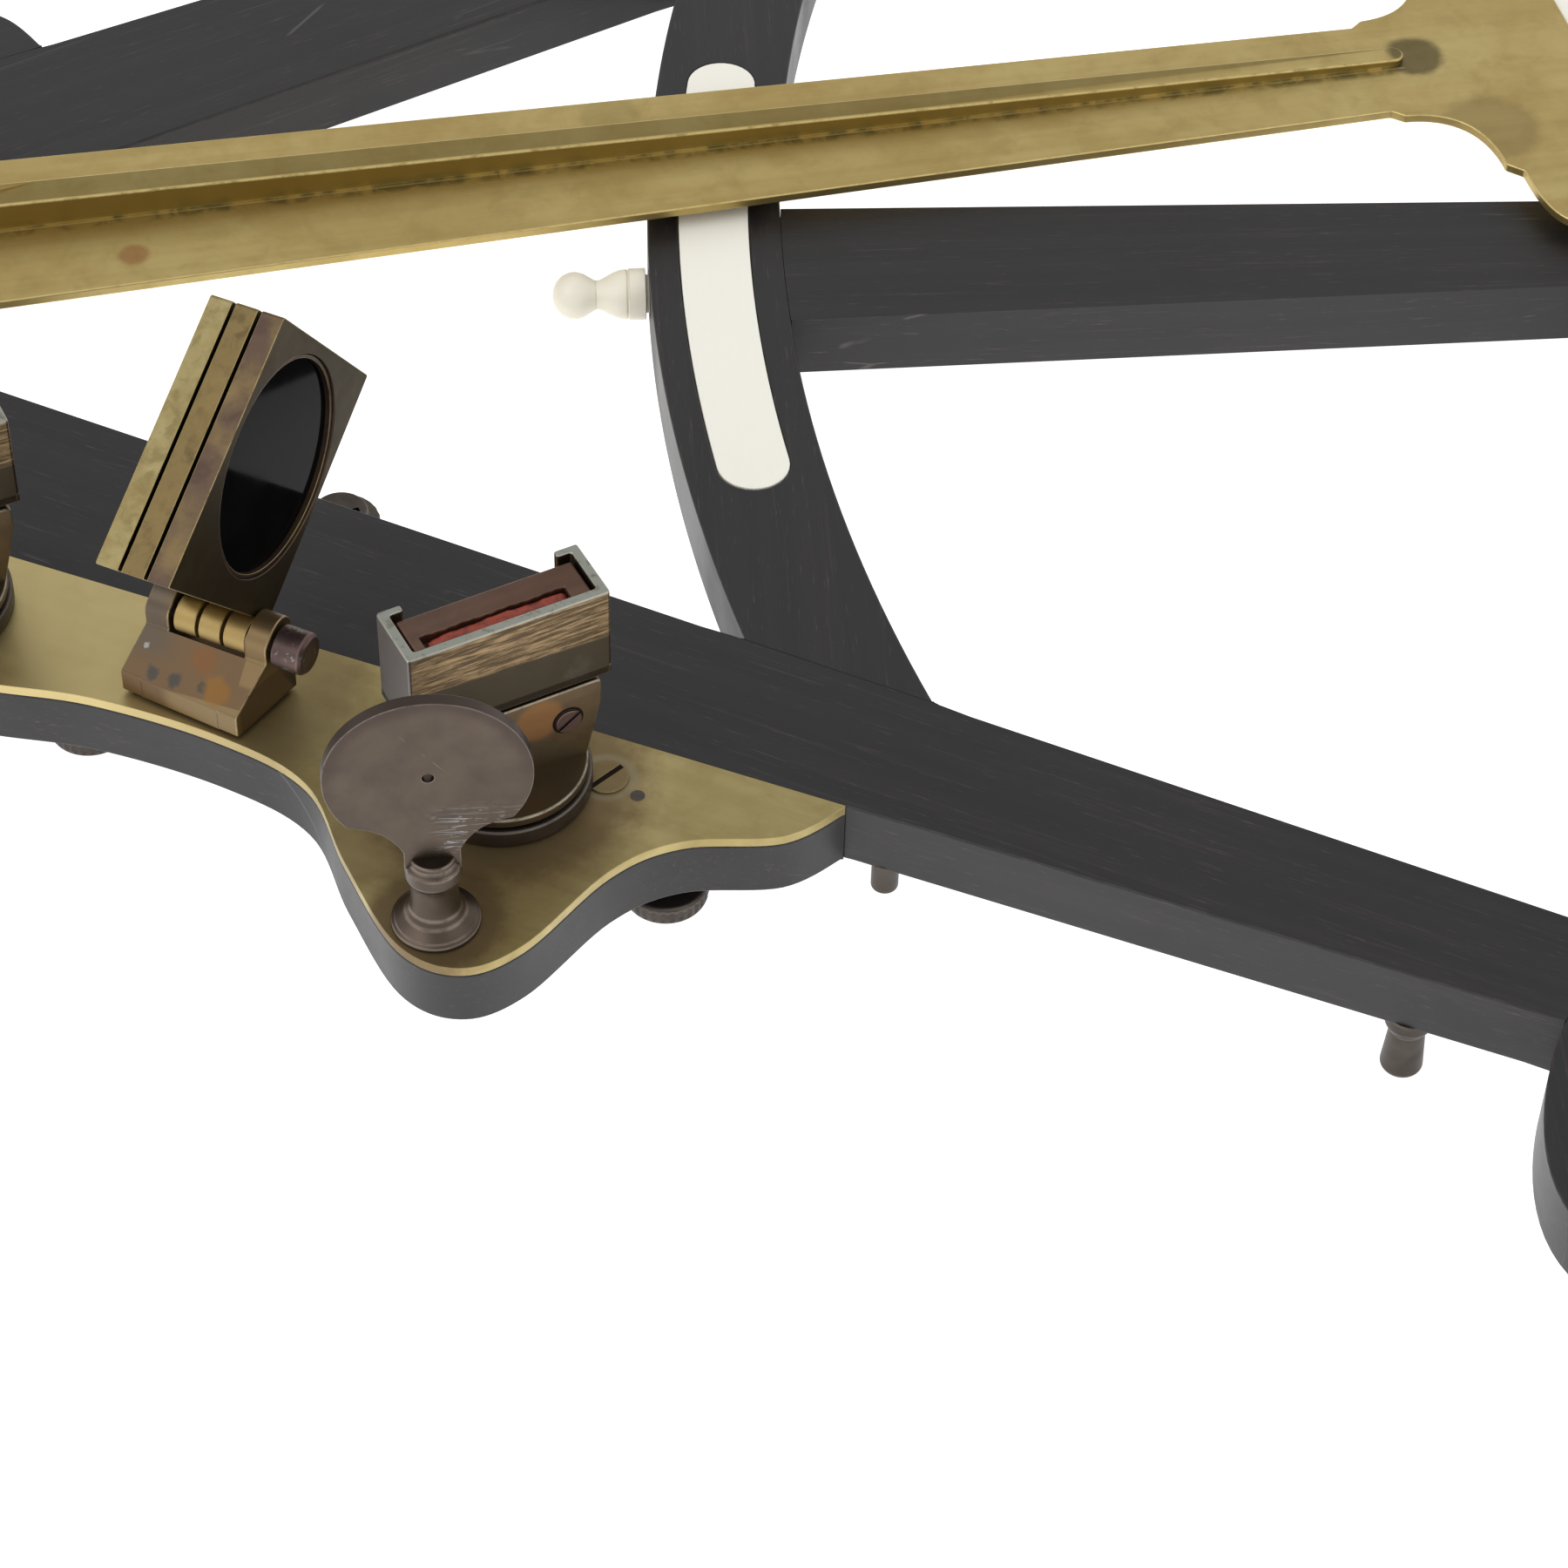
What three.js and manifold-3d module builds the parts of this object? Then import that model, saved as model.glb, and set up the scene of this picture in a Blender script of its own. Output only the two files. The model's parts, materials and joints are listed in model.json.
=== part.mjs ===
// Reflecting octant in ebony, brass and ivory, lying face up on its three rear feet.
// Millimetres, +Z up. The parts are drawn about the index pivot: +X runs from the pivot to the
// middle of the arc, +Y towards the right limb, and z = 0 is the face of the ebony frame.
// The finished group is moved at the end, so that its origin is under the middle of its box.
import * as THREE from 'three';
import { mergeVertices } from 'three/addons/utils/BufferGeometryUtils.js';
import Module from 'manifold-3d';

const wasm = await Module();
wasm.setup();

// ---- driving dimensions ----
const frameThickness = 8.3;
const glueLine = 0.06;            // width of a glued joint in the frame
const runningGap = 0.3;           // clearance round anything that turns
const innerEdgeSlope = 0.531;     // limb inner edge: |y| = slope * (x - crotch)
const innerEdgeCrotch = 10.4;
const outerEdgeSlope = 0.465;     // limb outer edge: |y| = offset + slope * x
const outerEdgeOffset = 23.9;
const apexCutX = 30;              // where the limbs are glued to the apex block
const barCentreX = 373.6;         // the crossbar's edges are arcs about this point on the X axis
const barFarRadius = 252.3;
const barNearRadius = 236.2;
const stemHalfWidth = 13.6;       // the stem's half width at the pivot, before its taper
const stemTaper = 0.0245;
const arcInnerRadius = 242.2;
const arcOuterRadius = 270;
const arcJointAngle = 30.3;       // degrees, where a limb's outer edge meets the arc
const arcTipAngle = 34.6;
const inlayDepth = 1.5;
const inlayGap = 0.05;
const plateThickness = 1.2;
const footLength = 8.7;
const armRestAngle = 8.2;         // degrees from the stem, towards the right limb
const armTop = 3.1;
const armThickness = 1.2;
const armLow = armTop - armThickness;
const pivotRadius = 4;
const pivotPlateRadius = 15;
const lightAngle = -27.8;         // degrees, the way that light runs past the shades
const mirrorAngle = 24.3;         // degrees, the long side of a horizon mirror

// ---- materials ----
function finish(color, roughness, metalness) {
  return new THREE.MeshStandardMaterial({ color, roughness, metalness });
}
const ebony = finish(0x2a2628, 0.45, 0);
const brass = finish(0xa08a4e, 0.4, 1);
const oldBrass = finish(0x6e5a40, 0.5, 1);
const ivory = finish(0xeeeadb, 0.45, 0);
const bone = finish(0xe4dcc6, 0.5, 0);
const mirrorGlass = finish(0xc8ccd0, 0.05, 1);
const darkGlass = finish(0x101214, 0.08, 0);

// ---- geometry helpers ----
const octant = new THREE.Group();

function addPart(parent, name, geometry, material) {
  const mesh = new THREE.Mesh(geometry, material);
  mesh.name = name;
  parent.add(mesh);
  return mesh;
}

function solid(geometry) {
  const bare = geometry.clone();
  bare.deleteAttribute('normal');
  bare.deleteAttribute('uv');
  const merged = mergeVertices(bare, 1e-5);
  return new wasm.Manifold(new wasm.Mesh({
    numProp: 3,
    vertProperties: new Float32Array(merged.attributes.position.array),
    triVerts: new Uint32Array(merged.index.array),
  }));
}

function geometryOf(body) {
  const mesh = body.getMesh();
  const geometry = new THREE.BufferGeometry();
  geometry.setAttribute('position', new THREE.BufferAttribute(mesh.vertProperties, 3));
  geometry.setIndex(new THREE.BufferAttribute(mesh.triVerts, 1));
  geometry.computeVertexNormals();
  return geometry;
}

function join(...pieces) {
  return geometryOf(pieces.map(solid).reduce((whole, piece) => whole.add(piece)));
}

function cut(base, ...tools) {
  return geometryOf(tools.map(solid).reduce((whole, tool) => whole.subtract(tool), solid(base)));
}

function prism(shape, low, high, steps = 8) {
  const options = { depth: high - low, bevelEnabled: false, curveSegments: steps };
  return new THREE.ExtrudeGeometry(shape, options).translate(0, 0, low);
}

function disc(radius, low, high, x = 0, y = 0, sides = 20) {
  const geometry = new THREE.CylinderGeometry(radius, radius, high - low, sides);
  return geometry.rotateX(Math.PI / 2).translate(x, y, (low + high) / 2);
}

function block(lowX, highX, lowY, highY, low, high) {
  const geometry = new THREE.BoxGeometry(highX - lowX, highY - lowY, high - low);
  return geometry.translate((lowX + highX) / 2, (lowY + highY) / 2, (low + high) / 2);
}

// Profile points are [radius, z] pairs that start and end on the axis.
function turned(profile, sides = 16) {
  const points = profile.map(([radius, z]) => new THREE.Vector2(radius, z));
  return new THREE.LatheGeometry(points, sides).rotateX(Math.PI / 2);
}

function polar(radius, degrees) {
  const angle = THREE.MathUtils.degToRad(degrees);
  return new THREE.Vector2(radius * Math.cos(angle), radius * Math.sin(angle));
}

function circleHole(x, y, radius) {
  return new THREE.Path().absarc(x, y, radius, 0, 2 * Math.PI, false);
}

// ---- where the frame's straight and round edges meet ----
function innerEdge(x) {
  return innerEdgeSlope * (x - innerEdgeCrotch);
}

function outerEdge(x) {
  return outerEdgeOffset + outerEdgeSlope * x;
}

// x where |y| = slope * (x - start) crosses a circle about (centre, 0); side is -1 near, +1 far.
function edgeOnCircle(slope, start, centre, radius, side) {
  const a = 1 + slope * slope;
  const b = centre + slope * slope * start;
  const c = centre * centre + slope * slope * start * start - radius * radius;
  return (b + side * Math.sqrt(b * b - a * c)) / a;
}

// ---- ebony frame ----
function limbShape(side) {
  const radius = arcInnerRadius - glueLine;
  const innerX = edgeOnCircle(innerEdgeSlope, innerEdgeCrotch, 0, radius, 1);
  const outerX = edgeOnCircle(outerEdgeSlope, -outerEdgeOffset / outerEdgeSlope, 0, radius, 1);
  const start = apexCutX + glueLine;
  const innerAngle = Math.atan2(side * innerEdge(innerX), innerX);
  const outerAngle = Math.atan2(side * outerEdge(outerX), outerX);
  const shape = new THREE.Shape();
  shape.moveTo(start, side * innerEdge(start));
  shape.lineTo(innerX, side * innerEdge(innerX));
  shape.absarc(0, 0, radius, innerAngle, outerAngle, side < 0);
  shape.lineTo(start, side * outerEdge(start));
  shape.closePath();
  return shape;
}

function apexShape() {
  const tilt = Math.atan(outerEdgeSlope);
  const headRadius = outerEdgeOffset * Math.cos(tilt);
  const top = Math.PI / 2 + tilt;
  const shape = new THREE.Shape();
  shape.moveTo(apexCutX, innerEdge(apexCutX));
  shape.lineTo(apexCutX, outerEdge(apexCutX));
  shape.absarc(0, 0, headRadius, top, 2 * Math.PI - top, false);
  shape.lineTo(apexCutX, -outerEdge(apexCutX));
  shape.lineTo(apexCutX, -innerEdge(apexCutX));
  shape.lineTo(apexCutX - 8, -innerEdge(apexCutX - 8));
  shape.quadraticCurveTo(innerEdgeCrotch, 0, apexCutX - 8, innerEdge(apexCutX - 8));
  shape.closePath();
  shape.holes.push(circleHole(0, 0, pivotRadius + runningGap));
  return shape;
}

const barCornerReach = 1.8;       // how far each blunted corner of the crossbar reaches

// The crossbar: two arcs about one centre, with a blunted corner where each meets a limb.
function crossbarShape() {
  const crotch = innerEdgeCrotch + glueLine / innerEdgeSlope;
  const corner = (radius, side) => {
    const x = edgeOnCircle(innerEdgeSlope, crotch, barCentreX, radius, -1);
    return new THREE.Vector2(x, side * innerEdgeSlope * (x - crotch));
  };
  const alongLimb = (from, distance, side) => new THREE.Vector2(
    from.x + distance,
    from.y + side * innerEdgeSlope * distance,
  );
  const turn = (radius) => Math.asin(corner(radius, 1).y / radius);
  const far = turn(barFarRadius) - barCornerReach / barFarRadius;
  const near = turn(barNearRadius) - barCornerReach / barNearRadius;
  const shape = new THREE.Shape();
  const farLow = corner(barFarRadius, -1);
  const farHigh = corner(barFarRadius, 1);
  const nearLow = corner(barNearRadius, -1);
  const nearHigh = corner(barNearRadius, 1);
  const lowStart = alongLimb(farLow, -barCornerReach, -1);
  const lowEnd = alongLimb(nearLow, barCornerReach, -1);
  const highStart = alongLimb(nearHigh, barCornerReach, 1);
  const highEnd = alongLimb(farHigh, -barCornerReach, 1);
  shape.absarc(barCentreX, 0, barFarRadius, Math.PI - far, Math.PI + far, false);
  shape.quadraticCurveTo(farLow.x, farLow.y, lowStart.x, lowStart.y);
  shape.lineTo(lowEnd.x, lowEnd.y);
  const nearStart = polar(barNearRadius, THREE.MathUtils.radToDeg(Math.PI + near));
  shape.quadraticCurveTo(nearLow.x, nearLow.y, barCentreX + nearStart.x, nearStart.y);
  shape.absarc(barCentreX, 0, barNearRadius, Math.PI + near, Math.PI - near, true);
  shape.quadraticCurveTo(nearHigh.x, nearHigh.y, highStart.x, highStart.y);
  shape.lineTo(highEnd.x, highEnd.y);
  const farStart = polar(barFarRadius, THREE.MathUtils.radToDeg(Math.PI - far));
  shape.quadraticCurveTo(farHigh.x, farHigh.y, barCentreX + farStart.x, farStart.y);
  return shape;
}

function stemShape() {
  const nearRadius = barNearRadius - glueLine;
  const farRadius = arcInnerRadius - glueLine;
  const half = (x) => stemHalfWidth - stemTaper * x;
  const startHalf = half(barCentreX - nearRadius);
  const endHalf = half(farRadius);
  const startTurn = Math.asin(startHalf / nearRadius);
  const endTurn = Math.asin(endHalf / farRadius);
  const shape = new THREE.Shape();
  shape.absarc(barCentreX, 0, nearRadius, Math.PI - startTurn, Math.PI + startTurn, false);
  shape.absarc(0, 0, farRadius, -endTurn, endTurn, false);
  shape.closePath();
  return shape;
}

// An arc strip about the pivot or another centre on the X axis, with round or square ends.
function stripShape(centreX, inner, outer, fromDegrees, toDegrees, round) {
  const from = THREE.MathUtils.degToRad(fromDegrees);
  const to = THREE.MathUtils.degToRad(toDegrees);
  const middle = (inner + outer) / 2;
  const width = (outer - inner) / 2;
  const shape = new THREE.Shape();
  shape.absarc(centreX, 0, outer, from, to, false);
  if (round) {
    const end = new THREE.Vector2(centreX + middle * Math.cos(to), middle * Math.sin(to));
    shape.absarc(end.x, end.y, width, to, to + Math.PI, false);
  }
  shape.absarc(centreX, 0, inner, to, from, true);
  if (round) {
    const end = new THREE.Vector2(centreX + middle * Math.cos(from), middle * Math.sin(from));
    shape.absarc(end.x, end.y, width, from + Math.PI, from + 2 * Math.PI, false);
  }
  return shape;
}

// The arc limb ends in a lobe that swells past each limb.
function arcLimbShape() {
  const joint = THREE.MathUtils.degToRad(arcJointAngle);
  const tip = THREE.MathUtils.degToRad(arcTipAngle);
  const lobeIn = polar(arcInnerRadius + 0.8, arcJointAngle + 2.9);
  const lobeOut = polar(arcInnerRadius + 9.8, arcJointAngle + 7.7);
  const start = polar(arcInnerRadius, arcJointAngle);
  const end = polar(arcOuterRadius, arcTipAngle);
  const shape = new THREE.Shape();
  shape.absarc(0, 0, arcOuterRadius, -tip, tip, false);
  shape.bezierCurveTo(lobeOut.x, lobeOut.y, lobeIn.x, lobeIn.y, start.x, start.y);
  shape.absarc(0, 0, arcInnerRadius, joint, -joint, true);
  shape.bezierCurveTo(lobeIn.x, -lobeIn.y, lobeOut.x, -lobeOut.y, end.x, -end.y);
  return shape;
}

const pencilZ = -4.1;
const pencilBore = 2.6;
const pencilBoreEnd = 199;
const namePlate = { inner: 240.1, outer: 248.5, halfAngle: 8.2 };
const scale = { inner: 248.5, outer: 264.5, halfAngle: 28.5 };

function pencilBoreTool() {
  const start = 100;
  const length = pencilBoreEnd - start;
  const tool = new THREE.CylinderGeometry(pencilBore, pencilBore, length, 20);
  return tool.rotateZ(Math.PI / 2).translate(start + length / 2, 0, pencilZ);
}

function addFrame() {
  const low = -frameThickness;
  const apex = cut(
    prism(apexShape(), low, 0),
    disc(pivotPlateRadius + inlayGap, -plateThickness - inlayGap, 1),
  );
  addPart(octant, 'apex_block', apex, ebony);
  addPart(octant, 'left_limb', prism(limbShape(-1), low, 0), ebony);
  addPart(octant, 'right_limb', prism(limbShape(1), low, 0), ebony);

  const turn = 180 - namePlate.halfAngle;
  const nameTool = stripShape(
    barCentreX, namePlate.inner - inlayGap, namePlate.outer + inlayGap, turn, 360 - turn, true,
  );
  const crossbar = cut(
    prism(crossbarShape(), low, 0, 10),
    prism(nameTool, -inlayDepth - inlayGap, 1),
    pencilBoreTool(),
  );
  addPart(octant, 'crossbar', crossbar, ebony);
  addPart(octant, 'stem', cut(prism(stemShape(), low, 0), pencilBoreTool()), ebony);

  const recess = stripShape(
    0,
    scale.inner - inlayGap,
    scale.outer + inlayGap,
    -scale.halfAngle - 0.02,
    scale.halfAngle + 0.02,
    false,
  );
  const arcLimb = cut(prism(arcLimbShape(), low, 0, 18), prism(recess, -inlayDepth - inlayGap, 1, 18));
  addPart(octant, 'arc_limb', arcLimb, ebony);

  const nameStrip = stripShape(barCentreX, namePlate.inner, namePlate.outer, turn, 360 - turn, true);
  addPart(octant, 'name_plate', prism(nameStrip, -inlayDepth, 0), ivory);
  const scaleStrip = stripShape(0, scale.inner, scale.outer, -scale.halfAngle, scale.halfAngle, false);
  addPart(octant, 'arc_scale', prism(scaleStrip, -inlayDepth, 0, 18), ivory);
}

// ---- side blocks: ebony cheeks glued to the limbs' outer edges, the left one faced with brass ----
const leftOutline = [
  [16, -31.4], [22, -46], [32, -58.5], [44, -65.2], [58, -68.8], [72.1, -75.2], [81.5, -82.6],
  [85.7, -94], [91, -105.4], [97.3, -109.1], [104.1, -106.3], [113.3, -96.5], [121, -92.7],
  [131.8, -92.4], [138.6, -88.4],
];
const rightOutline = [[4, 25.8], [7, 37], [14, 47], [24, 54], [34, 55.5], [42, 52], [47, 45.8]];

const foreMirror = { x: 39.5, y: -54 };
const backMirror = { x: 102.2, y: -82.9 };
const foreClamp = { x: 56.5, y: -59.5 };
const backClamp = { x: 119.5, y: -87.2 };
const backVane = { x: 95.2, y: -102.3 };
const foreVane = { x: 24, y: 45 };
const shankRadius = 3;
const clampStemRadius = 1.6;

function cheekShape(outline, side, holes) {
  const points = outline.map(([x, y]) => new THREE.Vector2(x, y));
  const first = points[0];
  const last = points[points.length - 1];
  first.y = side * (outerEdge(first.x) + glueLine);
  last.y = side * (outerEdge(last.x) + glueLine);
  const shape = new THREE.Shape();
  shape.moveTo(first.x, first.y);
  shape.splineThru(points.slice(1));
  shape.closePath();
  holes.forEach(([spot, radius]) => shape.holes.push(circleHole(spot.x, spot.y, radius)));
  return shape;
}

function addCheeks() {
  const shankHoles = [foreMirror, backMirror].map((spot) => [spot, shankRadius + runningGap]);
  const clampHoles = [foreClamp, backClamp].map((spot) => [spot, clampStemRadius + runningGap]);
  const low = -frameThickness;
  const seam = -plateThickness;
  const leftBlock = cut(
    prism(cheekShape(leftOutline, -1, shankHoles), low, seam - 0.02, 4),
    ...clampHoles.map(([spot, radius]) => disc(radius, low - 1, low + 5, spot.x, spot.y)),
  );
  addPart(octant, 'left_cheek', leftBlock, ebony);
  addPart(octant, 'left_plate', prism(cheekShape(leftOutline, -1, shankHoles), seam, 0, 4), brass);
  addPart(octant, 'right_cheek', prism(cheekShape(rightOutline, 1, []), low, 0, 5), ebony);
}

// ---- index arm, drawn along +X and turned to its rest angle ----
const arm = new THREE.Group();
arm.rotation.z = THREE.MathUtils.degToRad(armRestAngle);
octant.add(arm);

const armHeadRadius = 19;
const armHalfStart = 14.3;        // half width at the pivot, before the taper
const armHalfTaper = 0.0268;
const armNeckEnd = 215;
const endPlate = { near: 226, far: 275, half: 33 };
const readingWindow = { near: 242.4, far: 259.5, halfAngle: 5.6 };
const vernier = { near: 242.5, far: 250.2, halfAngle: 5.5, low: 0.5 };

// Half outline of the arm from the pivot outwards, at positive y: lines to a point, and curves
// through a handle to a point.
function armHalf() {
  const neck = armHalfStart - armHalfTaper * armNeckEnd;
  return [
    ['line', armNeckEnd, neck],
    ['line', armNeckEnd + 1.5, neck + 1.2],
    ['curve', endPlate.near - 0.4, neck + 1.6, endPlate.near - 0.2, 21],
    ['line', endPlate.near + 1.6, 22.6],
    ['curve', endPlate.near + 1.8, endPlate.half - 1, endPlate.near + 5, endPlate.half],
    ['line', endPlate.far - 3, endPlate.half],
    ['curve', endPlate.far, endPlate.half, endPlate.far, endPlate.half - 4],
  ];
}

function armShape() {
  const points = armHalf();
  const headTurn = Math.asin(armHalfStart / armHeadRadius) - 0.2;
  const headEnd = [armHeadRadius * Math.cos(headTurn), armHeadRadius * Math.sin(headTurn)];
  const shape = new THREE.Shape();
  shape.absarc(0, 0, armHeadRadius, headTurn, 2 * Math.PI - headTurn, false);
  points.forEach(([kind, a, b, c, d]) => {
    if (kind === 'line') shape.lineTo(a, -b);
    else shape.quadraticCurveTo(a, -b, c, -d);
  });
  shape.lineTo(endPlate.far, endPlate.half - 4);
  const back = [...points].reverse();
  back.forEach(([kind, a, b], index) => {
    const previous = back[index + 1];
    const goal = previous ? previous.slice(-2) : headEnd;
    if (kind === 'line') shape.lineTo(goal[0], goal[1]);
    else shape.quadraticCurveTo(a, b, goal[0], goal[1]);
  });
  const { near, far, halfAngle } = readingWindow;
  shape.holes.push(circleHole(0, 0, 2.4));
  shape.holes.push(new THREE.Path(stripShape(0, near, far, -halfAngle, halfAngle, false).getPoints(16)));
  return shape;
}

// Upright rib on the arm: a thin bar that loses height and width towards the arc.
function armRib() {
  const start = 30;
  const end = 218;
  const shape = new THREE.Shape();
  shape.moveTo(start, -0.2);
  shape.lineTo(end, -0.2);
  shape.absarc(end, 1.2, 1.4, -Math.PI / 2, Math.PI / 2, false);
  shape.lineTo(start, 4.2);
  shape.closePath();
  const bar = prism(shape, armTop - 0.3, armTop + 4, 6);
  const slope = new THREE.Shape();
  slope.moveTo(start - 1, armTop - 0.5);
  slope.lineTo(end + 2, armTop - 0.5);
  slope.lineTo(end + 2, armTop + 1.1);
  slope.lineTo(start + 12, armTop + 3.8);
  slope.lineTo(start - 1, armTop + 0.4);
  slope.closePath();
  const wedge = prism(slope, -6, 6).rotateX(Math.PI / 2);
  return geometryOf(solid(bar).intersect(solid(wedge)));
}

function addArm() {
  const body = join(prism(armShape(), armLow, armTop, 14), armRib());
  addPart(arm, 'index_arm', body, brass);
  const vernierStrip = stripShape(
    0, vernier.near, vernier.far, -vernier.halfAngle, vernier.halfAngle, false,
  );
  addPart(arm, 'vernier_scale', prism(vernierStrip, vernier.low, armTop - 0.4), ivory);

  const low = -frameThickness;
  const rearPlateLow = low - 1.4;
  addPart(octant, 'pivot_front_plate', cut(
    disc(pivotPlateRadius, -plateThickness, 0),
    disc(pivotRadius + runningGap, -3, 1),
  ), brass);
  addPart(octant, 'pivot_rear_plate', cut(
    disc(13, rearPlateLow, low - 0.02),
    disc(pivotRadius + runningGap, -12, 1),
  ), brass);
  const centre = turned([
    [0, rearPlateLow - 1.8], [2.4, rearPlateLow - 1.8], [2.4, rearPlateLow - 0.1],
    [pivotRadius, rearPlateLow - 0.1], [pivotRadius, armLow - 0.3], [2.1, armLow - 0.3],
    [2.1, armTop - 0.4], [0, armTop - 0.4],
  ]);
  addPart(arm, 'pivot_centre', centre, brass);
  addPart(arm, 'pivot_washer', cut(
    disc(6.4, rearPlateLow - 1.5, rearPlateLow - 0.3),
    disc(2.7, -20, 1),
  ), brass);
  const nut = turned([
    [0, rearPlateLow - 5.2], [3.6, rearPlateLow - 5.2], [4.6, rearPlateLow - 4.2],
    [4.6, rearPlateLow - 2.1], [0, rearPlateLow - 2.1],
  ]);
  addPart(arm, 'pivot_nut', nut, oldBrass);

  // Clamp: a jaw round the arc's outer edge, with a shoe that its radial screw presses home.
  const jawStart = arcOuterRadius + 1.4;
  const screwZ = low / 2;
  const jaw = cut(
    join(
      block(jawStart, endPlate.far, -9, 9, low - 2.6, armLow - 0.02),
      block(arcOuterRadius - 8, jawStart + 1, -9, 9, low - 2.6, low - 0.6),
    ),
    disc(2.3, jawStart - 10, jawStart + 10).rotateY(Math.PI / 2).translate(0, 0, screwZ),
  );
  addPart(arm, 'clamp_jaw', jaw, brass);
  const shoe = block(arcOuterRadius + 0.3, arcOuterRadius + 1.1, -7, 7, low + 0.6, -0.6);
  addPart(arm, 'clamp_shoe', shoe, brass);
  const headStart = endPlate.far + 0.5;
  const screw = turned([
    [0, jawStart], [2, jawStart], [2, headStart], [5.6, headStart + 0.6], [5.6, headStart + 3.6],
    [3, headStart + 4.4], [0, headStart + 4.4],
  ]).rotateY(Math.PI / 2).translate(0, 0, screwZ);
  addPart(arm, 'clamp_screw', screw, oldBrass);
}

// ---- index mirror, standing on the arm over the pivot, its face along the arm ----
function channelShape(width, depth, wall, lip) {
  const half = width / 2;
  const shape = new THREE.Shape();
  shape.moveTo(-half, 0);
  shape.lineTo(half, 0);
  shape.lineTo(half, depth);
  shape.lineTo(half - wall - lip, depth);
  shape.lineTo(half - wall - lip, depth - 0.9);
  shape.lineTo(half - wall, depth - 0.9);
  shape.lineTo(half - wall, wall);
  shape.lineTo(-half + wall, wall);
  shape.lineTo(-half + wall, depth - 0.9);
  shape.lineTo(-half + wall + lip, depth - 0.9);
  shape.lineTo(-half + wall + lip, depth);
  shape.lineTo(-half, depth);
  shape.closePath();
  return shape;
}

function addIndexMirror() {
  const group = new THREE.Group();
  group.rotation.z = Math.PI;    // the channel opens towards the left limb
  arm.add(group);
  const width = 38;
  const baseLow = armTop + 0.05;
  const baseTop = baseLow + 2;
  const trayLow = baseTop + 0.1;
  const trayTop = trayLow + 26;
  const base = join(
    prism(stripBase(width / 2 + 2, 10), baseLow, baseTop),
    block(-7, 7, -9, -6.6, baseTop - 0.5, baseTop + 15),
  );
  addPart(group, 'index_mirror_base', base, brass);
  const tray = join(
    prism(channelShape(width, 5.4, 1.1, 2), trayLow, trayTop).translate(0, -3.6, 0),
    block(-width / 2, width / 2, -3.6, 1.8, trayLow, trayLow + 1.1),
  );
  addPart(group, 'index_mirror_tray', tray, oldBrass);
  const glassHalf = 17.6;
  const backing = block(-glassHalf, glassHalf, -2.3, -1, trayLow + 1.3, trayTop - 0.6);
  const glass = block(-glassHalf, glassHalf, -0.9, 0.7, trayLow + 1.3, trayTop - 0.2);
  addPart(group, 'index_mirror_backing', backing, oldBrass);
  addPart(group, 'index_mirror_glass', glass, mirrorGlass);
  const screw = turned([
    [0, -12.5], [2.4, -12.5], [2.8, -12], [2.8, -10.4], [1.2, -10.2], [1.2, -9.3], [0, -9.3],
  ]).rotateX(-Math.PI / 2).translate(0, 0, baseTop + 10);
  addPart(group, 'index_mirror_screw', screw, oldBrass);
}

function stripBase(halfLength, halfWidth) {
  const shape = new THREE.Shape();
  shape.absarc(halfLength - halfWidth, 0, halfWidth, -Math.PI / 2, Math.PI / 2, false);
  shape.absarc(-halfLength + halfWidth, 0, halfWidth, Math.PI / 2, 1.5 * Math.PI, false);
  return shape;
}

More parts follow.
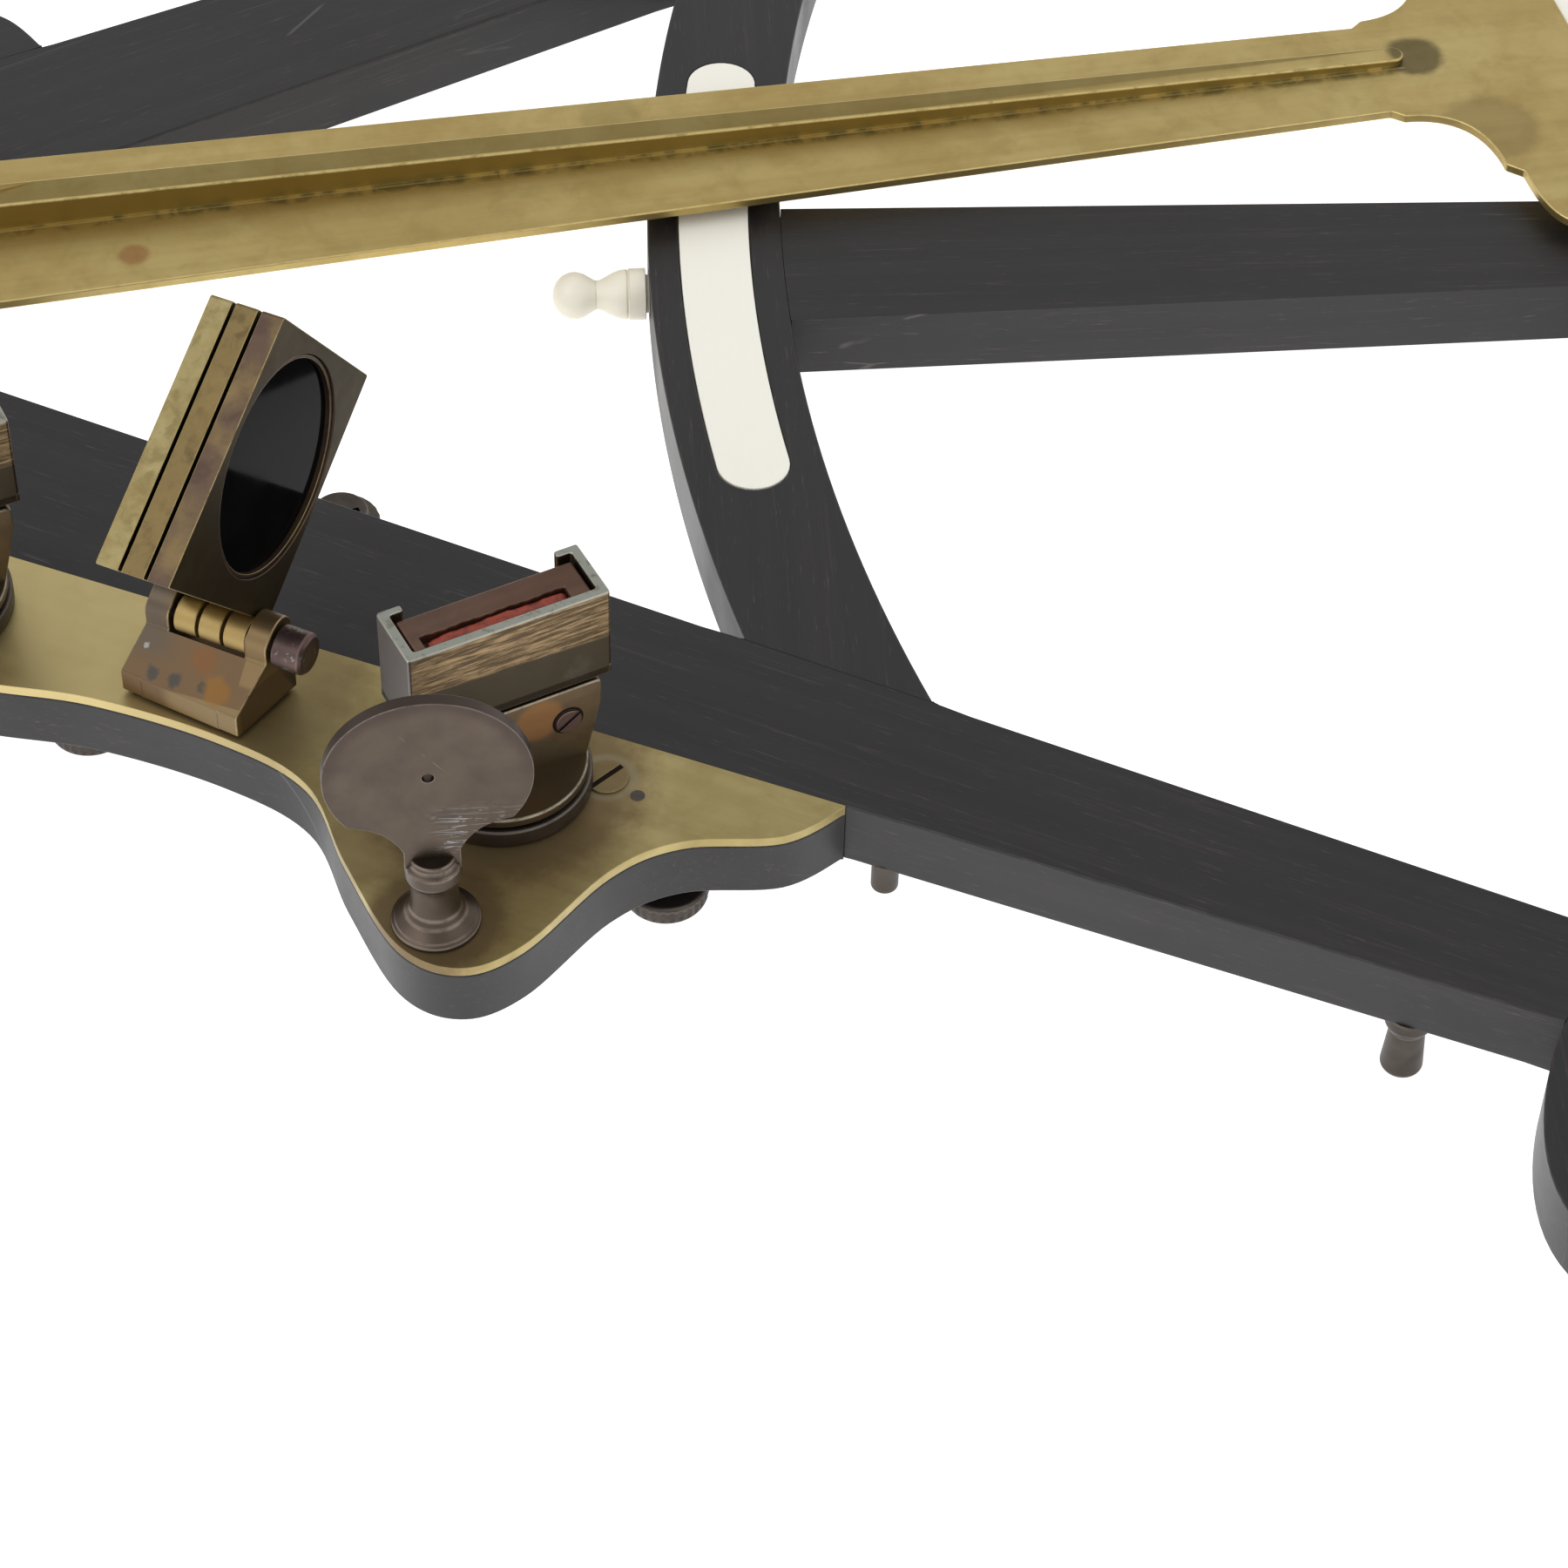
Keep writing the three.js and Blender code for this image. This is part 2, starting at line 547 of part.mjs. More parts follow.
// ---- horizon mirrors: a seat on the plate, a turning stand, and a tray that holds the glass ----
function addHorizonMirror(prefix, spot, turn, lever) {
  const group = new THREE.Group();
  group.position.set(spot.x, spot.y, 0);
  group.rotation.z = THREE.MathUtils.degToRad(turn);
  octant.add(group);
  const seatTop = 2.2;
  const standLow = seatTop + 0.3;
  const standTop = 14;
  const trayLow = 14.75;
  const trayTop = 26.5;
  const width = 22.7;
  const depth = 7.9;
  const seat = cut(disc(9.8, 0.02, seatTop), disc(shankRadius + runningGap, -1, 3));
  addPart(group, `${prefix}_mirror_seat`, seat, oldBrass);
  const face = new THREE.Shape();
  face.moveTo(-8.6, standLow + 0.6);
  face.lineTo(8.6, standLow + 0.6);
  face.lineTo(10.6, standTop - 3);
  face.lineTo(10.6, standTop);
  face.lineTo(-10.6, standTop);
  face.lineTo(-10.6, standTop - 3);
  face.closePath();
  const body = prism(face, -depth / 2, depth / 2).rotateX(Math.PI / 2);
  const stand = join(
    disc(9.4, standLow, standLow + 1.2),
    disc(shankRadius, -frameThickness - 0.6, standLow + 0.5),
    body,
    block(-9, 9, depth / 2 - 2, depth / 2 - 0.4, standTop - 0.5, trayLow - 0.03),
  );
  addPart(group, `${prefix}_mirror_stand`, stand, oldBrass);
  const tray = join(
    prism(channelShape(width, depth, 1.1, 1.6), trayLow, trayTop).translate(0, -depth / 2, 0),
    block(-width / 2, width / 2, -depth / 2, depth / 2, trayLow, trayLow + 1.2),
  );
  addPart(group, `${prefix}_mirror_tray`, tray, oldBrass);
  // The packing bar hooks over the glass, and has a slot along its front for a line of sealing wax.
  const glassHalf = 9.9;
  const glassTop = trayTop - 3;
  const packing = cut(
    join(
      block(-glassHalf, glassHalf, -2.8, 1.1, trayLow + 1.5, trayTop - 0.5),
      block(-glassHalf, glassHalf, 0.5, 2.5, glassTop + 0.1, trayTop - 0.5),
    ),
    block(-8.6, 7.6, -2.6, -0.7, trayTop - 2, trayTop),
  );
  addPart(group, `${prefix}_mirror_backing`, packing, oldBrass);
  const glass = block(-glassHalf, glassHalf, 1.3, 2.8, trayLow + 1.5, glassTop);
  addPart(group, `${prefix}_mirror_glass`, glass, mirrorGlass);
  const screw = turned([[0, 0.05], [1.5, 0.05], [1.5, 0.25], [1.3, 0.35], [0, 0.35]], 16)
    .rotateX(Math.PI / 2).translate(6.3, -depth / 2, 9.6);
  addPart(group, `${prefix}_mirror_screw`, screw, oldBrass);

  const bar = new THREE.Group();
  bar.position.set(spot.x, spot.y, 0);
  bar.rotation.z = THREE.MathUtils.degToRad(lever.turn);
  octant.add(bar);
  const leverTop = -frameThickness - 0.8;
  const leverBody = join(
    disc(5.6, leverTop - 2, leverTop),
    block(0, lever.length, -2.4, 2.4, leverTop - 1.6, leverTop),
    disc(4.6, leverTop - 4.4, leverTop, lever.length, 0),
  );
  addPart(bar, `${prefix}_mirror_lever`, leverBody, oldBrass);
}

function addClampKnob(name, spot) {
  const low = -frameThickness;
  const knob = turned([
    [0, low - 6.4], [4, low - 6.4], [4.7, low - 5.8], [4.7, low - 3.8], [2.4, low - 3.2],
    [2.4, low - 0.3], [clampStemRadius, low - 0.3], [clampStemRadius, low + 4.6], [0, low + 4.6],
  ]);
  knob.translate(spot.x, spot.y, 0);
  addPart(octant, name, knob, oldBrass);
}

// ---- shades: three frames on one pin, in a block on the left plate ----
const shade = {
  along: 97.4,       // distance from the pivot along the light's way, to the front shade's low face
  across: -25.8,     // distance of the pin from the pivot, square to that
  pinZ: 9.3,
  pitch: 3,
  thickness: 2.6,
  lean: 32.5,        // degrees, the long side above level
  knuckleRadius: 2.1,
  glassX: 16.2,      // the glass's middle from the pin, along and across the leaning frame
  glassY: 10.8,
  glassRadius: 11.7,
  glassDepth: 0.9,
};

// A frame's corners about its pin, in its own leaning axes. Its lower end is cut aslant.
const shadeCorners = [[2.2, -2.3], [31.2, -2.3], [28.9, 23.6], [-1.6, 24.8]];

// Axes inside this group: +Z along the pin, +X level and inward, +Y up.
function shadeAxes() {
  const group = new THREE.Group();
  const angle = THREE.MathUtils.degToRad(lightAngle);
  const alongPin = new THREE.Vector3(Math.cos(angle), Math.sin(angle), 0);
  const inward = new THREE.Vector3(-Math.sin(angle), Math.cos(angle), 0);
  const up = new THREE.Vector3(0, 0, 1);
  const start = inward.clone().multiplyScalar(shade.across);
  const basis = new THREE.Matrix4().makeBasis(inward, up, alongPin);
  group.setRotationFromMatrix(basis);
  group.position.copy(start).setZ(shade.pinZ);
  octant.add(group);
  return group;
}

function softRect(lowX, highX, lowY, highY, soft) {
  const shape = new THREE.Shape();
  shape.moveTo(lowX + soft, lowY);
  shape.lineTo(highX - soft, lowY);
  shape.quadraticCurveTo(highX, lowY, highX, lowY + soft);
  shape.lineTo(highX, highY - soft);
  shape.quadraticCurveTo(highX, highY, highX - soft, highY);
  shape.lineTo(lowX + soft, highY);
  shape.quadraticCurveTo(lowX, highY, lowX, highY - soft);
  shape.lineTo(lowX, lowY + soft);
  shape.quadraticCurveTo(lowX, lowY, lowX + soft, lowY);
  return shape;
}

// One frame between two heights along the pin: knuckle, flat leaf, round light and its rebate.
function shadeFrame(low, high, pinHole) {
  const { glassX, glassY, glassRadius } = shade;
  const outline = new THREE.Shape(shadeCorners.map(([x, y]) => new THREE.Vector2(x, y)));
  return cut(
    join(prism(outline, low, high), disc(shade.knuckleRadius, low, high)),
    disc(pinHole, low - 1, high + 1),
    disc(glassRadius - 0.9, low - 1, high + 1, glassX, glassY, 24),
    disc(glassRadius + runningGap, high - shade.glassDepth - 0.6, high + 1, glassX, glassY, 24),
  );
}

function addShades() {
  const axes = shadeAxes();
  const pinRadius = 1.1;
  for (let number = 1; number <= 3; number += 1) {
    const low = shade.along - (3 - number) * shade.pitch;
    const high = low + shade.thickness;
    const leaf = new THREE.Group();
    leaf.rotation.z = THREE.MathUtils.degToRad(shade.lean);
    axes.add(leaf);
    addPart(leaf, `shade_frame_${number}`, shadeFrame(low, high, pinRadius + 0.1), brass);
    const glassTop = high - 0.6;
    const glass = disc(
      shade.glassRadius, glassTop - shade.glassDepth + 0.05, glassTop, shade.glassX, shade.glassY, 24,
    );
    addPart(leaf, `shade_glass_${number}`, glass, darkGlass);
  }
  const left = shade.along - 2 * shade.pitch - 0.3;
  const right = shade.along + shade.thickness + 0.3;
  const headTurn = turned([
    [0, left - 2.9], [pinRadius, left - 2.9], [pinRadius, right + 3], [2.4, right + 3],
    [2.4, right + 6.2], [2, right + 6.6], [0, right + 6.6],
  ]);
  addPart(axes, 'shade_pin_screw', headTurn, oldBrass);

  const side = new THREE.Shape();
  side.moveTo(-6.2, -shade.pinZ + 0.05);
  side.lineTo(3, -shade.pinZ + 0.05);
  side.absarc(0.4, 0.4, 2.6, 0, Math.PI, false);
  side.lineTo(-2.2, -1.2);
  side.lineTo(-6.2, -shade.pinZ + 3.3);
  side.closePath();
  // Room for the knuckles in front of the pin, and for the frames' corners behind it.
  const cornerSweep = 3.9;
  const holder = cut(
    prism(side, left - 2.9, right + 2.7, 6),
    disc(shade.knuckleRadius + 0.4, left, right),
    block(-2.6, 8, -1, 8, left, right),
    block(0, 8, -cornerSweep, 8, left, right),
    disc(pinRadius + 0.1, left - 5, right + 5),
  );
  addPart(axes, 'shade_block', holder, oldBrass);
}

// ---- sight vanes ----
const vaneFaceTurn = 3;           // degrees, the disc's face from the -Y direction

function addBackVane() {
  const group = new THREE.Group();
  group.position.set(backVane.x, backVane.y, 0);
  group.rotation.z = THREE.MathUtils.degToRad(vaneFaceTurn);
  octant.add(group);
  const post = turned([
    [0, 0.02], [4.7, 0.02], [4.7, 0.6], [3.6, 1.4], [2.5, 2.9], [2.5, 6.8], [2.95, 7.4],
    [2.95, 8.9], [2.4, 9.4], [2.4, 10.4], [0, 10.4],
  ]);
  const plate = new THREE.Shape();
  const middle = 22;
  const radius = 10.6;
  const shoulder = 0.58;            // radians, from the foot of the disc to its shoulders
  plate.absarc(0, middle, radius, -Math.PI / 2 + shoulder, 1.5 * Math.PI - shoulder, false);
  plate.quadraticCurveTo(-3.3, 12.6, -2.9, 8.2);
  plate.lineTo(2.9, 8.2);
  plate.quadraticCurveTo(3.3, 12.6, radius * Math.sin(shoulder), middle - radius * Math.cos(shoulder));
  plate.closePath();
  plate.holes.push(circleHole(0, middle, 0.65));
  const face = prism(plate, -0.6, 0.6, 12).rotateX(Math.PI / 2);
  addPart(group, 'back_sight_vane', join(post, face), oldBrass);
}

function addForeVane() {
  const group = new THREE.Group();
  group.position.set(foreVane.x, foreVane.y, 0);
  group.rotation.z = THREE.MathUtils.degToRad(8);
  octant.add(group);
  const post = turned([
    [0, 0.02], [4.8, 0.02], [4.8, 1], [3.4, 1.8], [2.6, 2.6], [2.6, 6.8], [3.4, 7.6],
    [3.4, 8.8], [0, 8.8],
  ]);
  const plate = softRect(-8, 8, 8, 32, 3);
  plate.holes.push(circleHole(-3.4, 21, 0.9));
  plate.holes.push(circleHole(3.4, 21, 0.9));
  const screwHole = 1.2;
  plate.holes.push(circleHole(0, 28, screwHole));
  const face = prism(plate, -0.8, 0.8).rotateX(Math.PI / 2);
  addPart(group, 'fore_sight_vane', join(post, face), brass);
  const shutter = new THREE.Shape();
  shutter.absarc(0, 28, 2.6, 0, Math.PI, false);
  shutter.lineTo(-2.2, 21);
  shutter.absarc(0, 21, 2.2, Math.PI, 2 * Math.PI, false);
  shutter.closePath();
  shutter.holes.push(circleHole(0, 28, screwHole));
  addPart(group, 'sight_shutter', prism(shutter, 1.1, 2).rotateX(Math.PI / 2), oldBrass);
  const screw = turned([
    [0, -1.6], [1, -1.6], [1, 2.2], [2.1, 2.2], [2.1, 2.8], [1.6, 3.1], [0, 3.1],
  ], 16).rotateX(Math.PI / 2).translate(0, 0, 28);
  addPart(group, 'sight_shutter_screw', screw, oldBrass);
}

// ---- note pencil, feet, and the peg let into the left limb from below ----
function addPencil() {
  const face = barCentreX - barFarRadius;
  const pencil = turned([
    [0, face - 11.6], [1.6, face - 11.2], [2.7, face - 9.8], [2.9, face - 8.9], [2.5, face - 7.4],
    [1.7, face - 6.5], [1.9, face - 5.6], [2.9, face - 3.4], [3.1, face - 2.7],
    [3.1, face - 0.4], [2.3, face - 0.4], [2.3, face + 68], [0.6, face + 73], [0, face + 73],
  ]).rotateY(Math.PI / 2).translate(0, 0, pencilZ);
  addPart(octant, 'note_pencil', pencil, bone);
}

function addPeg() {
  const low = -frameThickness;
  addPart(octant, 'limb_peg', disc(1.5, low - 3.7, low - 0.02, 143, -89, 16), oldBrass);
}

function addFeet() {
  const low = -frameThickness;
  const spots = { apex_foot: [-15.6, 0], left_foot: [196, -112.6], right_foot: [196, 112.6] };
  Object.entries(spots).forEach(([name, [x, y]]) => {
    const foot = turned([
      [0, low - footLength], [1.7, low - footLength], [2.3, low - footLength + 0.7], [1.9, low - 2.2],
      [2.6, low - 1.2], [2.6, low - 0.02], [0, low - 0.02],
    ]);
    foot.translate(x, y, 0);
    addPart(octant, name, foot, oldBrass);
  });
}

addFrame();
addCheeks();
addArm();
addIndexMirror();
addHorizonMirror('fore', foreMirror, 22.5, { turn: 75, length: 38 });
addHorizonMirror('back', backMirror, mirrorAngle, { turn: 109, length: 55 });
addClampKnob('fore_clamp_knob', foreClamp);
addClampKnob('back_clamp_knob', backClamp);
addShades();
addBackVane();
addForeVane();
addPencil();
addPeg();
addFeet();

// Put the origin under the middle of the whole object.
octant.updateMatrixWorld(true);
const box = new THREE.Box3().setFromObject(octant, true);
octant.position.set(-(box.min.x + box.max.x) / 2, -(box.min.y + box.max.y) / 2, -box.min.z);
octant.updateMatrixWorld(true);

export default octant;
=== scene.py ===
import json

import bpy
import numpy as np
from mathutils import Matrix, Vector
from mathutils.geometry import tessellate_polygon

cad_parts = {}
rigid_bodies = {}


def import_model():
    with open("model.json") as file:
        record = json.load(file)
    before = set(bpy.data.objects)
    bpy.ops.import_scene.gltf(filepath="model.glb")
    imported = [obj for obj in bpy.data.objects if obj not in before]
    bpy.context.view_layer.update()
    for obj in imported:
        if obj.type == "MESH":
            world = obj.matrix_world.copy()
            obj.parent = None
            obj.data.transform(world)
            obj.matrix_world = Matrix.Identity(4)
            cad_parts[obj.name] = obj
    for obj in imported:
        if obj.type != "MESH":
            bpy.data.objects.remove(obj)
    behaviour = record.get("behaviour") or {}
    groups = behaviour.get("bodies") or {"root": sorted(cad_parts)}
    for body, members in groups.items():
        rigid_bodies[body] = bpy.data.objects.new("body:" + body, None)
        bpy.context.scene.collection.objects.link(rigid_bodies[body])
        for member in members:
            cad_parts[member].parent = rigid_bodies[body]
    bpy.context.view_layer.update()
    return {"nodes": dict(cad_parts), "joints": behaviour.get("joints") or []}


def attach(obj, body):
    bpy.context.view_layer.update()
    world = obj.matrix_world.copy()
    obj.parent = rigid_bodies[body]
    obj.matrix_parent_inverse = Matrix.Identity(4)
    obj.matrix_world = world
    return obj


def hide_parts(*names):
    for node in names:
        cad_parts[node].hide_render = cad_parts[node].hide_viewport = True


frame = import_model()

# Lengths are millimetres about the index pivot, as on the maker's bench: +X runs from the pivot to
# the middle of the arc, +Y to the right limb, and z = 0 is the face of the ebony frame.
MM = 0.001
joints = {joint["name"]: joint for joint in frame["joints"]}
PIVOT_ABOVE_FACE = 2.0
pivot = np.array(joints["index_arm_swing"]["pos_m"]) - [0, 0, PIVOT_ABOVE_FACE * MM]

FRAME_THICK = 8.3
GLUE_LINE = 0.06
INNER_SLOPE = 0.531           # a limb's inner edge: |y| = slope * (x - crotch)
INNER_CROTCH = 10.4
OUTER_SLOPE = 0.465           # a limb's outer edge: |y| = offset + slope * x
OUTER_OFFSET = 23.9
APEX_CUT = 30.0
BAR_CENTRE = 373.6            # the crossbar's edges are arcs about this x
BAR_FAR = 252.3
BAR_NEAR = 236.2
STEM_HALF = 13.6
STEM_TAPER = 0.0245
ARC_INNER = 242.2
ARC_OUTER = 270.0
ARC_JOINT = 30.3
ARC_TIP = 34.6
INLAY_DEPTH = 1.5
PLATE_THICK = 1.2
FOOT_LENGTH = 8.7
ARM_ANGLE = float(np.degrees(np.arctan2(*joints["clamp_screw_turn"]["axis"][1::-1])))
ARM_LOW = 1.9
ARM_TOP = 3.1
VERNIER_LOW, VERNIER_TOP = 0.5, 2.7
PLATE_SCREW = (113.4, -83.1)
BACK_VANE = (95.2, -102.3)
MIRRORS = {"fore": (39.5, -54, 22.5), "back": (102.2, -82.9, 24.3)}     # x, y and the turn of each
SHADE_WAY = joints["shade_1_swing"]["axis"]
SHADE_ALONG, SHADE_ACROSS, PIN_Z = 97.4, -25.8, 9.3
SHADE_PITCH, SHADE_THICK, SHADE_LEAN = 3.0, 2.6, 32.5
SHADE_LIGHT = (16.2, 10.8)     # the glass's middle from the pin, in the frame's leaning axes
SHADE_CORNERS = np.array([(2.2, -2.3), (31.2, -2.3), (28.9, 23.6), (-1.6, 24.8)])


# ---------------------------------------------------------------- outlines

def circle_arc(x, y, radius, start, end, steps=24):
    """Points on a circle about (x, y), from start to end degrees."""
    angle = np.radians(np.linspace(start, end, steps + 1))
    return np.stack([x + radius * np.cos(angle), y + radius * np.sin(angle)], 1)


def disc(radius, sides=64, x=0, y=0):
    return circle_arc(x, y, radius, 0, 360, sides)[:-1]


def bezier(*controls, steps=10):
    """A quadratic or cubic Bezier curve through its first and last control points."""
    t = np.linspace(0, 1, steps + 1)[:, None]
    points = [np.broadcast_to(np.array(c, float), (steps + 1, 2)) for c in controls]
    while len(points) > 1:
        points = [a + (b - a) * t for a, b in zip(points, points[1:])]
    return points[0]


def spline(points, steps=8):
    """A uniform Catmull-Rom curve through all the points."""
    p = np.array(points, float)
    before = np.concatenate([p[:1], p[:-2]])
    after = np.concatenate([p[2:], p[-1:]])
    start, end = p[:-1], p[1:]
    leave, arrive = (end - before) / 2, (after - start) / 2
    t = np.linspace(0, 1, steps, endpoint=False)[:, None, None]
    curve = ((2 * start - 2 * end + leave + arrive) * t ** 3
             + (3 * end - 3 * start - 2 * leave - arrive) * t ** 2 + leave * t + start)
    return np.concatenate([curve.transpose(1, 0, 2).reshape(-1, 2), p[-1:]])


def chain(*pieces):
    """Joins stretches of outline, and drops points that lie on the one before."""
    points = np.concatenate([np.atleast_2d(np.array(piece, float)) for piece in pieces])
    apart = np.linalg.norm(points - np.roll(points, 1, 0), axis=1) > 1e-4
    return points[apart]


def rectangle(low_x, high_x, low_y, high_y):
    return np.array([[low_x, low_y], [high_x, low_y], [high_x, high_y], [low_x, high_y]], float)


def mirrored(points):
    """The same outline across the x axis, still anticlockwise."""
    return (points * [1, -1])[::-1]


def unit(vectors):
    return vectors / np.maximum(np.linalg.norm(vectors, axis=-1, keepdims=True), 1e-12)


def soft_path(points, soft, closed=True, steps=4, sharp=22):
    """Rounds each corner that turns more than sharp degrees with a quadratic curve that starts soft
    before it. Returns the points, the unit way of travel at each, and an edge value that peaks on
    each rounded corner."""
    p = np.array(points, float)
    back, ahead = p - np.roll(p, 1, 0), np.roll(p, -1, 0) - p
    if not closed:
        back[0], ahead[-1] = ahead[0], back[-1]
    way_in, way_out = unit(back), unit(ahead)
    turn = np.degrees(np.arccos(np.clip((way_in * way_out).sum(1), -1, 1)))
    reach = np.minimum(soft, 0.45 * np.minimum(np.linalg.norm(back, axis=1), np.linalg.norm(ahead, axis=1)))
    t = np.linspace(0, 1, steps + 1)[:, None]
    out_points, out_ways, out_edge = [], [], []
    for here, enter, leave, angle, length in zip(p, way_in, way_out, turn, reach):
        if angle > sharp and length > 1e-3:
            start, end = here - enter * length, here + leave * length
            out_points.append((1 - t) ** 2 * start + 2 * t * (1 - t) * here + t ** 2 * end)
            out_ways.append(unit((1 - t) * enter + t * leave))
            out_edge.append(np.sin(np.pi * t[:, 0]))
        else:
            out_points.append(here[None])
            out_ways.append(unit(enter + leave)[None])
            out_edge.append(np.zeros(1))
    return np.concatenate(out_points), np.concatenate(out_ways), np.concatenate(out_edge)


# ---------------------------------------------------------------- shells

class Shell:
    """Points, faces, a normal and an edge value (1 on the middle of a rounded edge) for each point."""

    def __init__(self, points, faces, normals, edge):
        self.points, self.faces, self.normals, self.edge = points, faces, normals, edge

    def moved(self, basis=np.eye(3), shift=(0, 0, 0)):
        basis = np.array(basis, float)
        points = self.points @ basis.T + np.array(shift, float)
        return Shell(points, self.faces, self.normals @ basis.T, self.edge)

    def turned(self, degrees, x=0, y=0, z=0):
        return self.moved(about_z(degrees), (x, y, z))


def about_z(degrees):
    c, s = np.cos(np.radians(degrees)), np.sin(np.radians(degrees))
    return np.array([[c, -s, 0], [s, c, 0], [0, 0, 1]])


def shade_axes(lean=0.0):
    """The pin's place, and axes inward, up and along the pin, turned about the pin by lean."""
    way = np.array(SHADE_WAY, float)
    inward = np.array([-way[1], way[0], 0])
    return np.stack([inward, [0, 0, 1], way], 1) @ about_z(lean), inward * SHADE_ACROSS + [0, 0, PIN_Z]


UPRIGHT = np.array([[1, 0, 0], [0, 0, -1], [0, 1, 0]], float)     # drawn flat, then stood up facing -Y
ALONG_X = np.array([[0, 0, 1], [0, 1, 0], [-1, 0, 0]], float)     # a turned axis laid along +X


def area(points):
    x, y = points[:, 0], points[:, 1]
    return 0.5 * float((x * np.roll(y, -1) - y * np.roll(x, -1)).sum())


def cap(loops, indices, up):
    """Triangles that fill the first loop less the others, facing up or down."""
    flat = [[Vector((x, y, 0)) for x, y in loop] for loop in loops]
    triangles = np.array(tessellate_polygon(flat), int)
    points = np.concatenate(loops)
    a, b, c = (points[triangles[:, i]] for i in range(3))
    facing = (b[:, 0] - a[:, 0]) * (c[:, 1] - a[:, 1]) - (b[:, 1] - a[:, 1]) * (c[:, 0] - a[:, 0])
    wrong = (facing > 0) != up
    triangles[wrong] = triangles[wrong][:, ::-1]
    return np.concatenate(indices)[triangles[np.abs(facing) > 1e-12]].tolist()


def soft_prism(outline, low, high, soft=0.25, holes=(), pockets=(), corner=None, steps=3, closeness=None):
    """An outline carried from low to high, with every edge rounded by soft: row by row, the loop
    moves in by soft * (1 - sin) and up by soft * (1 - cos). Pockets are (loop, depth, holes in it).
    Corners in plan are rounded by corner; closeness scales soft point by point, as at a glued joint."""
    corner = soft * 1.5 if corner is None else corner
    angle = np.linspace(0, np.pi / 2, steps + 1)
    sides, ups = np.sin(angle), np.cos(angle)
    points, normals, edges, faces = [], [], [], []
    count = 0

    def add_rows(rows, out, worn):
        """Quads between rows of (loop, z, outward share, upward share) of one length."""
        nonlocal count
        length = len(out)
        for flat, z, side, up in rows:
            points.append(np.column_stack([flat, np.broadcast_to(z, length)]))
            normals.append(np.column_stack([out * side, np.full(length, up)]))
            edges.append(np.broadcast_to(2 * side * abs(up) * worn, length))
        index = count + np.arange(len(rows) * length).reshape(len(rows), length)
        count += index.size
        nxt = np.roll(index, -1, 1)
        faces.extend(np.stack([index[:-1], nxt[:-1], nxt[1:], index[1:]], -1).reshape(-1, 4).tolist())
        return index

    def wall(loop, bottom, top, outer):
        """Rows round one loop; a loop that isn't the outer one has the solid outside it."""
        loop = loop if (area(loop) > 0) == outer else loop[::-1]
        path, way = soft_path(loop, corner)[:2]
        out = np.stack([way[:, 1], -way[:, 0]], 1)
        share = np.full(len(path), soft) if closeness is None else soft * closeness(path)
        rows = []
        for face_z, sign, order in ((bottom, 1, slice(None)), (top, -1, slice(None, None, -1))):
            if face_z is None:
                continue
            for side, up in list(zip(sides, ups))[order]:
                inset = share * (1 - side)
                rows.append((path - out * inset[:, None], face_z + sign * share * (1 - up), side,
                             -sign * up))
        index = add_rows(rows, out, share / soft)
        return (rows[0][0], index[0]), (rows[-1][0], index[-1])

    def floor_wall(loop, floor, top):
        """A pocket's wall: a sharp foot at the floor, a rounded edge at the top."""
        nonlocal count
        loop = loop if area(loop) < 0 else loop[::-1]
        path, way = soft_path(loop, corner)[:2]
        out = np.stack([way[:, 1], -way[:, 0]], 1)
        rows = [(path, floor, 1, 0)]
        for side, up in list(zip(sides, ups))[::-1]:
            rows.append((path - out * soft * (1 - side), top - soft * (1 - up), side, up))
        index = add_rows(rows, out, 0)
        points.append(np.column_stack([path, np.full(len(path), floor)]))
        normals.append(np.tile([0.0, 0, 1], (len(path), 1)))
        edges.append(np.zeros(len(path)))
        floor_index = count + np.arange(len(path))
        count += len(path)
        return (path, floor_index), (rows[-1][0], index[-1])

    bottom_outer, top_outer = wall(np.array(outline, float), low, high, True)
    tops, bottoms = [top_outer], [bottom_outer]
    for hole in holes:
        bottom, top = wall(np.array(hole, float), low, high, False)
        bottoms.append(bottom)
        tops.append(top)
    for loop, depth, inner in pockets:
        floor, top = floor_wall(np.array(loop, float), high - depth, high)
        tops.append(top)
        floors = [floor]
        for hole in inner:
            bottom, upper = wall(np.array(hole, float), low, high - depth, False)
            bottoms.append(bottom)
            floors.append(upper)
        faces.extend(cap([f[0] for f in floors], [f[1] for f in floors], True))
    faces.extend(cap([t[0] for t in tops], [t[1] for t in tops], True))
    faces.extend(cap([b[0] for b in bottoms], [b[1] for b in bottoms], False))
    return Shell(np.concatenate(points), faces, np.concatenate(normals), np.concatenate(edges))


